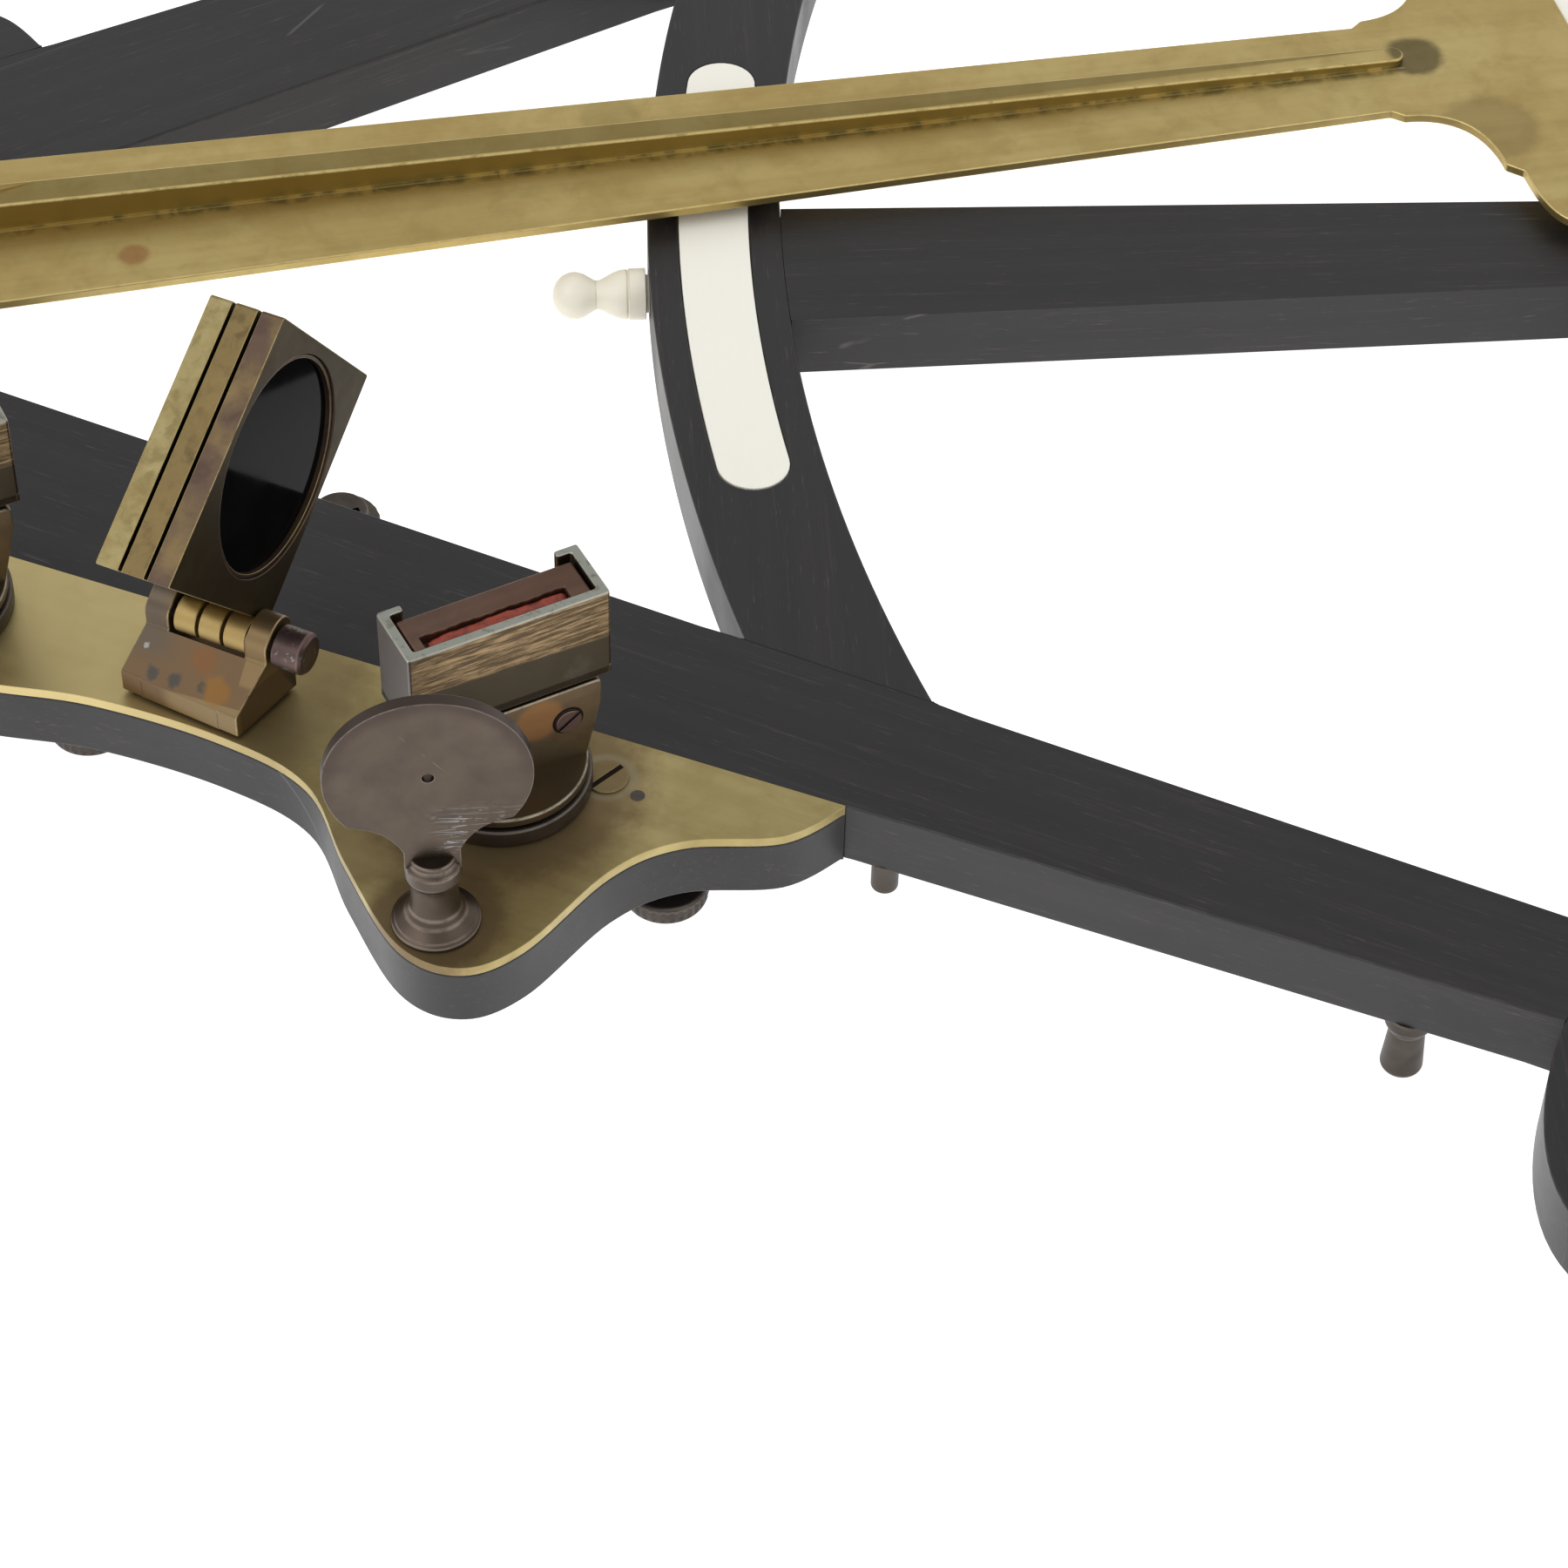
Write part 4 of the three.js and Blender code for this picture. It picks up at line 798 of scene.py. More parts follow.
def hinge_marks(f, metal):
    """Rust-brown slope, tan front, and the right ear's end face painted near-black as painted shade;
    grey-green spots along the front edge, and orange at the right."""
    basis, origin = shade_axes()
    local = f.axes(basis, origin)
    u, v, w = f.split(local)
    left, right = SHADE_ALONG - 9.2, SHADE_ALONG + 5.6
    slope = f.step(u, -6.15, -6.0)
    front = f.drop(u, -6.15, -6.0)
    metal = f.mix(slope, metal, (0.135, 0.088, 0.050))
    grey = f.times(f.drop(w, left + 1, left + 5), f.step(u, -5.0, -3.0))
    metal = f.tint(metal, (0.10, 0.085, 0.066), grey, 0.8)
    metal = f.tint(metal, (0.20, 0.145, 0.074), front, 0.9)
    for spot_w, spot_u, radius, tint in (
            (left + 1.9, -5.2, 0.75, (0.045, 0.055, 0.055)), (left + 4.7, -5.3, 0.8, (0.045, 0.055, 0.055)),
            (left + 8.2, -5.3, 0.7, (0.05, 0.06, 0.05)), (right - 5.0, -5.2, 1.5, (0.21, 0.105, 0.03)),
            (left + 0.5, -3.6, 0.35, (0.30, 0.30, 0.29)), (left + 7.5, -3.4, 1.5, (0.17, 0.082, 0.036))):
        moved = f.vector("SUBTRACT", local, (spot_u, 0.0, spot_w))
        away = f.vector("LENGTH", f.vector("MULTIPLY", moved, (1.5, 0, 1)))
        ragged = f.plus(away, f.times(f.less(f.noise(local, 1.1, 4, 0.6), 0.5), 1.4))
        metal = f.tint(metal, tint, f.drop(ragged, radius * 0.7, radius * 1.3), 0.75)
    # painted shade: the right ear's end face, turned from the light, is darkened to near-black
    end = f.step(w, right - 0.15, right - 0.02)
    metal = f.mix(end, metal, (0.03, 0.022, 0.02))
    ear = f.times(f.step(w, right - 2.8, right - 2.6), f.step(v, -3.6, -3.2))
    return f.tint(metal, (0.22, 0.155, 0.075), ear, 0.7)


brass("hinge_brass", (0.12, 0.07, 0.04), (0.18, 0.12, 0.07), (0.07, 0.042, 0.026), -27.8,
      roughness=0.42, late=hinge_marks,
      wear_tint=(0.45, 0.35, 0.20), cloudy=0.25)
ivory("ivory")
ivory("bone", (0.82, 0.78, 0.66), (0.66, 0.56, 0.40), 0.0)


def plain_glass(name, colour, roughness=0.06):
    f = Finish(name, roughness=roughness)
    smear = f.shared("patches", Scale=0.12, Low=0.4, High=0.75)
    f.colour(f.tint(colour, tuple(c * 1.6 + 0.003 for c in colour), smear, 0.3))
    f.rough(f.plus(f.times(smear, 0.06), roughness))
    return f


plain_glass("smoked_glass", (0.002, 0.002, 0.002)).shader.inputs["Specular IOR Level"].default_value = 0.02
silvered = Finish("silvered_glass", roughness=0.04, metallic=1.0)
foxing = silvered.shared("patches", Scale=0.3, Low=0.6, High=0.75)
silvered.colour(silvered.mix(foxing, (0.72, 0.74, 0.75), (0.25, 0.24, 0.22)))
silvered.rough(silvered.plus(silvered.times(foxing, 0.25), 0.03))

wax = Finish("red_wax", roughness=0.5)
wax_lines = wax.shared("patches", wax.along(MIRRORS["back"][2]), Scale=0.8, Low=0.42, High=0.62)
wax.colour(wax.mix(wax_lines, (0.25, 0.030, 0.011), (0.13, 0.018, 0.008)))

ink = Finish("engraved_ink", roughness=0.7)
faded = ink.shared("patches", Scale=1.0, Low=0.4, High=0.7)
ink.colour(ink.mix(faded, (0.012, 0.011, 0.010), (0.03, 0.025, 0.02)))


# ---------------------------------------------------------------- ebony frame

def inner_edge(x):
    return INNER_SLOPE * (x - INNER_CROTCH)


def outer_edge(x):
    return OUTER_OFFSET + OUTER_SLOPE * x


def edge_on_circle(slope, start, centre, radius, side):
    """x where |y| = slope * (x - start) crosses a circle about (centre, 0)."""
    a = 1 + slope ** 2
    b = centre + slope ** 2 * start
    c = centre ** 2 + slope ** 2 * start ** 2 - radius ** 2
    return (b + side * np.sqrt(b * b - a * c)) / a


def glued(path):
    """Edges at a glued joint stay crisp, a twenty-fifth as soft as the free edges."""
    x, y = path[:, 0], np.abs(path[:, 1])
    reach = np.hypot(path[:, 0], path[:, 1])
    on_arc = np.abs(reach - ARC_INNER) < 0.3
    on_apex = np.abs(x - APEX_CUT) < 0.2
    on_bar = (np.abs(y - inner_edge(x)) < 0.3) & (x > 126) & (x < 152.5)
    on_stem = (np.abs(np.hypot(x - BAR_CENTRE, y) - BAR_NEAR) < 0.3) & (y < 12)
    at_left_cheek = (path[:, 1] < 0) & (np.abs(y - outer_edge(x)) < 0.3) & (x > 15) & (x < 139)
    at_right_cheek = (path[:, 1] > 0) & (np.abs(y - outer_edge(x)) < 0.3) & (x > 3) & (x < 48)
    return np.where(on_arc | on_apex | on_bar | on_stem | at_left_cheek | at_right_cheek, 0.04, 1.0)


def put_wood(name, outline, finish, node, corner=0.1, pockets=()):
    shell = soft_prism(outline, -FRAME_THICK, 0, 0.3, pockets=pockets, closeness=glued, corner=corner)
    put(name, shell, finish, "frame", [node])


def make_frame():
    radius = ARC_INNER - GLUE_LINE
    inner_x = edge_on_circle(INNER_SLOPE, INNER_CROTCH, 0, radius, 1)
    outer_x = edge_on_circle(OUTER_SLOPE, -OUTER_OFFSET / OUTER_SLOPE, 0, radius, 1)
    start = APEX_CUT + GLUE_LINE
    inner_turn = np.degrees(np.arctan2(inner_edge(inner_x), inner_x))
    outer_turn = np.degrees(np.arctan2(outer_edge(outer_x), outer_x))
    run_in = np.linspace(start, inner_x, 60)
    run_out = np.linspace(outer_x, start, 60)
    limb = chain(
        np.column_stack([run_in, inner_edge(run_in)]),
        circle_arc(0, 0, radius, inner_turn, outer_turn, 10),
        np.column_stack([run_out, outer_edge(run_out)]),
    )
    put_wood("limb_right", limb, "ebony_right_limb", "right_limb")
    put_wood("limb_left", mirrored(limb), "ebony_left_limb", "left_limb")

    tilt = np.degrees(np.arctan(OUTER_SLOPE))
    head = OUTER_OFFSET * np.cos(np.radians(tilt))
    bend = APEX_CUT - 8
    crotch = bezier((bend, -inner_edge(bend)), (INNER_CROTCH, 0), (bend, inner_edge(bend)), steps=16)
    apex = chain(
        [(APEX_CUT, inner_edge(APEX_CUT)), (APEX_CUT, outer_edge(APEX_CUT))],
        circle_arc(0, 0, head, 90 + tilt, 270 - tilt, 48),
        [(APEX_CUT, -outer_edge(APEX_CUT)), (APEX_CUT, -inner_edge(APEX_CUT))],
        crotch,
    )
    bore = disc(4.3, 40)
    seat = disc(15.05, 72)
    put_wood("apex", apex, "ebony_apex", "apex_block", pockets=[(seat, PLATE_THICK + 0.05, [bore])])

    crotch_x = INNER_CROTCH + GLUE_LINE / INNER_SLOPE
    soft = 0.5

    def corner(r, side):
        x = edge_on_circle(INNER_SLOPE, crotch_x, BAR_CENTRE, r, -1)
        return np.array([x, side * INNER_SLOPE * (x - crotch_x)])

    def along(point, distance, side):
        return point + [distance, side * INNER_SLOPE * distance]

    far = np.degrees(np.arcsin(corner(BAR_FAR, 1)[1] / BAR_FAR) - soft / BAR_FAR)
    near = np.degrees(np.arcsin(corner(BAR_NEAR, 1)[1] / BAR_NEAR) - soft / BAR_NEAR)
    far_low, far_high = corner(BAR_FAR, -1), corner(BAR_FAR, 1)
    near_low, near_high = corner(BAR_NEAR, -1), corner(BAR_NEAR, 1)
    near_line = circle_arc(BAR_CENTRE, 0, BAR_NEAR, 180 + near, 180 - near, 48)
    far_line = circle_arc(BAR_CENTRE, 0, BAR_FAR, 180 - far, 180 + far, 48)
    bar = chain(
        far_line,
        bezier(far_line[-1], far_low, along(far_low, -soft, -1)),
        bezier(along(near_low, soft, -1), near_low, near_line[0]),
        near_line,
        bezier(near_line[-1], near_high, along(near_high, soft, 1)),
        bezier(along(far_high, -soft, 1), far_high, far_line[0]),
    )
    name_gap = strip(BAR_CENTRE, 240.05, 248.55, 180 - 8.2, 180 + 8.2, True)
    put_wood("crossbar_wood", bar, "ebony_crossbar", "crossbar",
             pockets=[(name_gap, INLAY_DEPTH + 0.05, [])])

    near_r, far_r = BAR_NEAR - GLUE_LINE, ARC_INNER - GLUE_LINE
    start_turn = np.degrees(np.arcsin((STEM_HALF - STEM_TAPER * (BAR_CENTRE - near_r)) / near_r))
    end_turn = np.degrees(np.arcsin((STEM_HALF - STEM_TAPER * far_r) / far_r))
    stem = chain(
        circle_arc(BAR_CENTRE, 0, near_r, 180 - start_turn, 180 + start_turn, 8),
        circle_arc(0, 0, far_r, -end_turn, end_turn, 6),
    )
    put_wood("stem_wood", stem, "ebony_stem", "stem")

    lobe_in = polar(ARC_INNER + 0.8, ARC_JOINT + 2.9)
    lobe_out = polar(ARC_INNER + 9.8, ARC_JOINT + 7.7)
    begin, end = polar(ARC_INNER, ARC_JOINT), polar(ARC_OUTER, ARC_TIP)
    flip = np.array([1, -1])
    rim = chain(
        circle_arc(0, 0, ARC_OUTER, -ARC_TIP, ARC_TIP, 96),
        bezier(end, lobe_out, lobe_in, begin, steps=24),
        circle_arc(0, 0, ARC_INNER, ARC_JOINT, -ARC_JOINT, 96),
        bezier(begin * flip, lobe_in * flip, lobe_out * flip, end * flip, steps=24),
    )
    scale_gap = strip(0, 248.45, 264.55, -28.52, 28.52, False)
    put_wood("arc_wood", rim, "ebony_crossbar", "arc_limb", 0.4, [(scale_gap, INLAY_DEPTH + 0.05, [])])


def polar(radius, degrees):
    return radius * np.array([np.cos(np.radians(degrees)), np.sin(np.radians(degrees))])


def strip(centre, inner, outer, start, end, rounded, steps=40):
    """An arc strip about (centre, 0), with round or square ends."""
    middle, half = (inner + outer) / 2, (outer - inner) / 2
    pieces_of_line = [circle_arc(centre, 0, outer, start, end, steps)]
    if rounded:
        tip = polar(middle, end)
        pieces_of_line.append(circle_arc(centre + tip[0], tip[1], half, end, end + 180, 16))
    pieces_of_line.append(circle_arc(centre, 0, inner, end, start, steps))
    if rounded:
        tip = polar(middle, start)
        pieces_of_line.append(circle_arc(centre + tip[0], tip[1], half, start + 180, start + 360, 16))
    return chain(*pieces_of_line)


def make_inlays():
    plate = strip(BAR_CENTRE, 240.1, 248.5, 180 - 8.2, 180 + 8.2, True)
    put("blank_name_plate", soft_prism(plate, -INLAY_DEPTH, 0.03, 0.08), "ivory", "frame",
        ["name_plate"])
    scale = strip(0, 248.5, 264.5, -28.5, 28.5, False, 96)
    put("arc_scale_strip", soft_prism(scale, -INLAY_DEPTH, 0.02, 0.08), "ivory", "frame",
        ["arc_scale"])


def engraved_line(start, end, width, height):
    """One inked line as a thin closed bar from start to end."""
    start, end = np.array(start, float), np.array(end, float)
    across = unit(end - start)[::-1] * [-1, 1] * width / 2
    loop = np.array([start - across, end - across, end + across, start + across])
    return soft_prism(loop, height - 0.03, height + 0.012, 0.004, corner=0.005, steps=1)


def engraved_number(text, size, radius, degrees, height):
    """A number across the scale, with its foot towards the pivot."""
    curve = bpy.data.curves.new("number", "FONT")
    curve.body, curve.size, curve.align_x = text, size, "CENTER"
    curve.resolution_u = 3
    holder = bpy.data.objects.new("number", curve)
    bpy.context.scene.collection.objects.link(holder)
    flat = bpy.data.meshes.new_from_object(holder.evaluated_get(bpy.context.evaluated_depsgraph_get()))
    points = np.array([(v.co.x, v.co.y, 0) for v in flat.vertices])
    faces = [list(polygon.vertices) for polygon in flat.polygons]
    for spare, store in ((holder, bpy.data.objects), (flat, bpy.data.meshes), (curve, bpy.data.curves)):
        store.remove(spare)
    shell = Shell(points, faces, np.tile([0.0, 0, 1], (len(points), 1)), np.zeros(len(points)))
    x, y = polar(radius, degrees)
    return shell.turned(degrees - 90, x, y, height + 0.012)


def make_scale_marks():
    """The arc reads 110 to 0 from left to right in half-angles, each cut in three; the vernier has
    twenty parts."""
    marks = []
    for third in range(-6, 337):
        turn = 27.5 - third / 6
        if abs(turn) > 28.3:
            continue
        reach = next(end for part, end in ((30, 255.4), (15, 254.4), (3, 253.4), (1, 252.2))
                     if third % part == 0)
        marks.append(engraved_line(polar(250.6, turn), polar(reach, turn), 0.11, 0.02))
    for degree in range(0, 111, 10):
        turn = 27.5 - degree / 2
        marks.append(engraved_number(str(degree), 4.2, 256.6, turn, 0.02))
    for radius in (250.5, 263.4):
        line = strip(0, radius - 0.05, radius + 0.05, -28.3, 28.3, False, 96)
        marks.append(soft_prism(line, -0.01, 0.03, 0.004, corner=0.005, steps=1))
    put("arc_scale_marks", marks, "engraved_ink", "frame")
    marks = []
    for part in range(21):
        turn = 4.6 - part * 0.46
        reach = 246.6 if part % 5 == 0 else 248.0
        marks.append(on_arm(engraved_line(polar(250.1, turn), polar(reach, turn), 0.11, VERNIER_TOP)))
    for part, number in ((0, "20"), (5, "15"), (10, "10"), (15, "5"), (20, "0")):
        marks.append(on_arm(engraved_number(number, 2.0, 244.6, 4.6 - part * 0.46, VERNIER_TOP)))
    put("vernier_marks", marks, "engraved_ink", "index_arm")


# ---------------------------------------------------------------- side blocks and their brass plates

LEFT_OUTLINE = [
    (16, -31.4), (22, -46), (32, -58.5), (44, -65.2), (58, -68.8), (72.1, -75.2), (81.5, -82.6),
                (85.7, -94),
    (91, -105.4), (97.3, -109.1), (104.1, -106.3), (113.3, -96.5), (121, -92.7), (131.8, -92.4),
                (138.6, -88.4),
]
RIGHT_OUTLINE = [(4, 25.8), (7, 37), (14, 47), (24, 54), (34, 55.5), (42, 52), (47, 45.8)]


def side_block_outline(outline, side):
    points = np.array(outline, float)
    for i in (0, -1):
        points[i, 1] = side * (outer_edge(points[i, 0]) + GLUE_LINE)
    curve = spline(points, 10)
    loop = chain(curve, np.linspace(curve[-1], curve[0], 30)[1:-1])
    return loop if area(loop) > 0 else loop[::-1]


def make_side_blocks():
    loop = side_block_outline(LEFT_OUTLINE, -1)
    put("left_side_block", soft_prism(loop, -FRAME_THICK, -PLATE_THICK - 0.02, 0.3, closeness=glued,
                                      corner=0.2),
        "ebony_left_cheek", "frame", ["left_cheek"])
    put("left_brass_plate", soft_prism(loop, -PLATE_THICK, 0.03, 0.08, closeness=glued, corner=0.2),
        "plate_brass", "frame", ["left_plate"])
    loop = side_block_outline(RIGHT_OUTLINE, 1)
    put_wood("right_side_block", loop, "ebony_right_limb", "right_cheek", 0.2)
    screw = slotted_head(2.4, -0.2, 0.24, slot=0.6, depth=0.16, turn=40, soft=0.06)
    # painted shade: a dark strip laid in the bottom of the screw's slot
    slot_shade = soft_prism(rectangle(-2.3, 2.3, -0.28, 0.28), 0.0, 0.11, 0.02).turned(40, *PLATE_SCREW)
    put("plate_screw_slot", slot_shade, "painted_recess_shade", "frame")
    put("plate_screw", [shell.moved(shift=(*PLATE_SCREW, 0)) for shell in screw], "plate_brass", "frame")
    put("plate_pin", soft_prism(disc(0.8, 20), -0.4, 0.08, 0.05).moved(shift=(116.6, -85.9, 0)),
        "old_brass", "frame")


# ---------------------------------------------------------------- index arm

def arm_half(x):
    return 14.3 - 0.0268 * x


def on_arm(shell):
    return shell.turned(ARM_ANGLE)


def make_arm():
    neck, near, far, half = 215.0, 226.0, 275.0, 33.0
    side = arm_half(neck)
    run = np.linspace(20, neck, 40)
    flare = chain(
        np.column_stack([run, arm_half(run)]),
        [(neck + 1.5, side + 1.2)],
        bezier((neck + 1.5, side + 1.2), (near - 0.4, side + 1.6), (near - 0.2, 21), steps=16),
        [(near + 1.6, 22.6)],
        bezier((near + 1.6, 22.6), (near + 1.8, half - 1), (near + 5, half), steps=12),
        bezier((far - 3, half), (far, half), (far, half - 4), steps=8),
    )
    join = np.degrees(np.arcsin(arm_half(0) / 19.0)) - 11.46
    head = circle_arc(0, 0, 19, join, 360 - join, 60)
    outline = chain(head, flare * [1, -1], flare[::-1])
    bore = disc(2.4, 32)
    window = strip(0, 242.4, 259.5, -5.6, 5.6, False, 16)
    plate = soft_prism(outline, ARM_LOW, ARM_TOP, 0.22, holes=[bore, window], corner=0.25)
    put("index_arm_plate", [on_arm(plate), on_arm(make_rib())], "arm_brass", "index_arm",
        ["index_arm"])
    vernier = strip(0, 242.5, 250.2, -5.5, 5.5, False, 16)
    put("vernier_strip", on_arm(soft_prism(vernier, VERNIER_LOW, VERNIER_TOP, 0.1)), "ivory", "index_arm",
        ["vernier_scale"])


def make_rib():
    """The upright rib: a plan outline with a round far end, whose top falls in a straight line."""
    start, end, tall = 30.0, 218.0, 4.0
    stations = np.linspace(start, end, 48)
    outline = chain(
        np.column_stack([stations, np.full(48, -0.2)]),
        circle_arc(end, 1.2, 1.4, -90, 90, 14),
        np.column_stack([stations[::-1], np.interp(stations[::-1], [start, end], [4.2, 2.6])]),
    )
    rib = soft_prism(outline, ARM_TOP - 0.3, ARM_TOP + tall, 0.35, corner=0.5)
    height = np.interp(rib.points[:, 0], [start, start + 12, end + 2], [0.4, 3.8, 1.1])
    rib.points[:, 2] -= np.where(rib.points[:, 2] > ARM_TOP + 1.5, tall - height, 0)
    return rib


def make_pivot():
    low = -FRAME_THICK
    rear = low - 1.4
    ring = disc(4.3, 40)
    put("pivot_face_plate", soft_prism(disc(15, 72), -PLATE_THICK, 0.04, 0.15, holes=[ring]),
        "plate_brass", "frame", ["pivot_front_plate"])
    put("pivot_back_plate", soft_prism(disc(13, 64), rear, low - 0.02, 0.2, holes=[ring]),
        "old_brass", "frame", ["pivot_rear_plate"])
    centre = turned_body([(0, rear - 1.8), (2.4, rear - 1.8), (2.4, rear - 0.1), (4, rear - 0.1),
                          (4, ARM_LOW - 0.3), (2.1, ARM_LOW - 0.3), (2.1, ARM_TOP - 0.4),
                          (0, ARM_TOP - 0.4)], 0.15)
    put("pivot_pin", centre, "arm_brass", "index_arm", ["pivot_centre"])
    washer = soft_prism(disc(6.35, 48), rear - 1.5, rear - 0.3, 0.2,
                        holes=[disc(2.7, 32)])
    put("washer", washer, "arm_brass", "index_arm", ["pivot_washer"])
    nut = [turned_body([(0, rear - 4.6), (3.6, rear - 4.6), (4.6, rear - 3.8), (4.6, rear - 2.1),
                        (0, rear - 2.1)], 0.3, sides=96, flutes=(24, 0.35, rear - 3.9, rear - 2.1))]
    nut += slotted_head(3.2, rear - 5.2, rear - 4.5, slot=0.7, depth=0.4, turn=20)
    for shell in nut[1:]:
        shell.points[:, 2] = 2 * (rear - 4.85) - shell.points[:, 2]
        shell.normals[:, 2] *= -1
        shell.faces = [face[::-1] for face in shell.faces]
    put("nut", nut, "old_brass", "index_arm", ["pivot_nut"])


def make_clamp():
    low = -FRAME_THICK
    jaw_start, jaw_end = ARC_OUTER + 1.4, 275.0
    jaw = [soft_block(jaw_start, jaw_end, -9, 9, low - 2.6, ARM_LOW - 0.02, 0.3),
           soft_block(ARC_OUTER - 8, jaw_start + 1, -9, 9, low - 2.6, low - 0.6, 0.3)]
    put("clamp_bracket", [on_arm(shell) for shell in jaw], "arm_brass", "index_arm",
        ["clamp_jaw"])
    put("clamp_pad", on_arm(soft_block(ARC_OUTER + 0.3, ARC_OUTER + 1.1, -7, 7, low + 0.6, -0.6, 0.1)),
        "arm_brass", "index_arm", ["clamp_shoe"])
    head = jaw_end + 0.5
    screw = turned_body([(0, jaw_start), (2, jaw_start), (2, head), (5.4, head + 0.5),
                         (5.7, head + 1.1), (5.7, head + 3.1), (5.4, head + 3.7), (3, head + 4.4),
                         (0, head + 4.4)], 0.25, sides=144,
                        flutes=(36, 0.3, head + 1.0, head + 3.2))
    put("clamp_thumb_screw", on_arm(screw.moved(ALONG_X, (0, 0, low / 2))), "old_brass", "clamp_screw",
        ["clamp_screw"])


# ---------------------------------------------------------------- mirrors

def channel(width, depth, wall, lip, step=0.9):
    """Plan of a mirror tray: a back wall on y = 0 and two side walls with inturned lips."""
    half = width / 2
    tip = half - wall - lip
    side = np.array([(half, 0), (half, depth), (tip, depth), (tip, depth - step),
                     (half - wall, depth - step),
                     (half - wall, wall)])
    return np.concatenate([side, (side * [-1, 1])[::-1]])


def make_index_mirror():
    base_low = ARM_TOP + 0.05
    base_top = base_low + 2
    tray_low, tray_top = base_top + 0.1, base_top + 26.1
    long_round = chain(circle_arc(11, 0, 10, -90, 90, 24), circle_arc(-11, 0, 10, 90, 270, 24))
    turn = ARM_ANGLE + 180

    def set_up(shells):
        return [shell.turned(turn) for shell in shells]

    put("index_mirror_foot", set_up([
        soft_prism(long_round, base_low, base_top, 0.3),
        soft_block(-7, 7, -9, -6.6, base_top - 0.3, base_top + 15, 0.4, 1.2),
    ]), "arm_brass", "index_arm", ["index_mirror_base"])
    put("index_mirror_channel", set_up([
        soft_prism(channel(38, 5.4, 1.1, 2) - [0, 3.6], tray_low, tray_top, 0.15, corner=0.3),
        soft_block(-19, 19, -3.6, 1.8, tray_low, tray_low + 1.1, 0.15),
    ]), "box_brass", "index_arm", ["index_mirror_tray"])
    packing = soft_block(-17.6, 17.6, -2.3, -1, tray_low + 1.3, tray_top - 0.6, 0.15)
    put("index_mirror_packing", set_up([packing]), "old_brass", "index_arm",
        ["index_mirror_backing"])
    glass = soft_block(-17.6, 17.6, -0.9, 0.7, tray_low + 1.3, tray_top - 0.2, 0.12)
    put("index_mirror_plate_glass", set_up([glass]), "silvered_glass", "index_arm",
        ["index_mirror_glass"])
    screw = turned_body([(0, -12.5), (2.3, -12.5), (2.8, -12), (2.8, -10.4), (1.2, -10.2), (1.2, -8.9),
                         (0, -8.9)], 0.2, sides=96, flutes=(20, 0.25, -12.1, -10.3))
    screw = screw.moved([[1, 0, 0], [0, 0, 1], [0, -1, 0]], (0, 0, base_top + 10)).turned(turn)
    put("index_mirror_thumb_screw", screw, "old_brass", "index_mirror_screw",
        ["index_mirror_screw"])


def ragged_slot(low_x, high_x, low_y, high_y):
    """A slot whose long sides waver: y gains 0.06 sin(1.3 x) + 0.04 sin(4.7 x + 1)."""
    x = np.linspace(low_x, high_x, 90)
    waver = 0.06 * np.sin(1.3 * x) + 0.04 * np.sin(4.7 * x + 1)
    return chain(np.column_stack([x, low_y + waver * 0.5]), np.column_stack([x, high_y + waver])[::-1])


def wax_line(low_x, high_x, low_y, high_y, low, high):
    """A poured line of wax: z = high + slow ripples, less v^4 towards its sides and an exponential
    at each end."""
    u, v = np.meshgrid(np.linspace(0, 1, 160), np.linspace(-1, 1, 14))
    x, y = low_x + (high_x - low_x) * u, (low_y + high_y) / 2 + (high_y - low_y) / 2 * v
    ripple = 0.09 * np.sin(0.9 * x + 2 * v) + 0.04 * np.sin(2.9 * x - 1.3 * v)
    ripple = ripple + 0.015 * np.sin(6.1 * x + 3 * v)
    fall = 0.55 * v ** 4 + 0.7 * np.exp(-12 * u) + 0.5 * np.exp(-30 * (1 - u))
    z = np.maximum(high + ripple - fall, low + 0.05)
    slope_x, slope_y = np.gradient(z, x[0], axis=1), np.gradient(z, y[:, 0], axis=0)
    points = np.stack([x, y, z], -1).reshape(-1, 3)
    normals = unit(np.stack([-slope_x, -slope_y, np.ones_like(z)], -1).reshape(-1, 3))
    index = np.arange(u.size).reshape(u.shape)
    faces = np.stack([index[:-1, :-1], index[:-1, 1:], index[1:, 1:], index[1:, :-1]], -1)
    return Shell(points, faces.reshape(-1, 4).tolist(), normals, np.zeros(u.size))


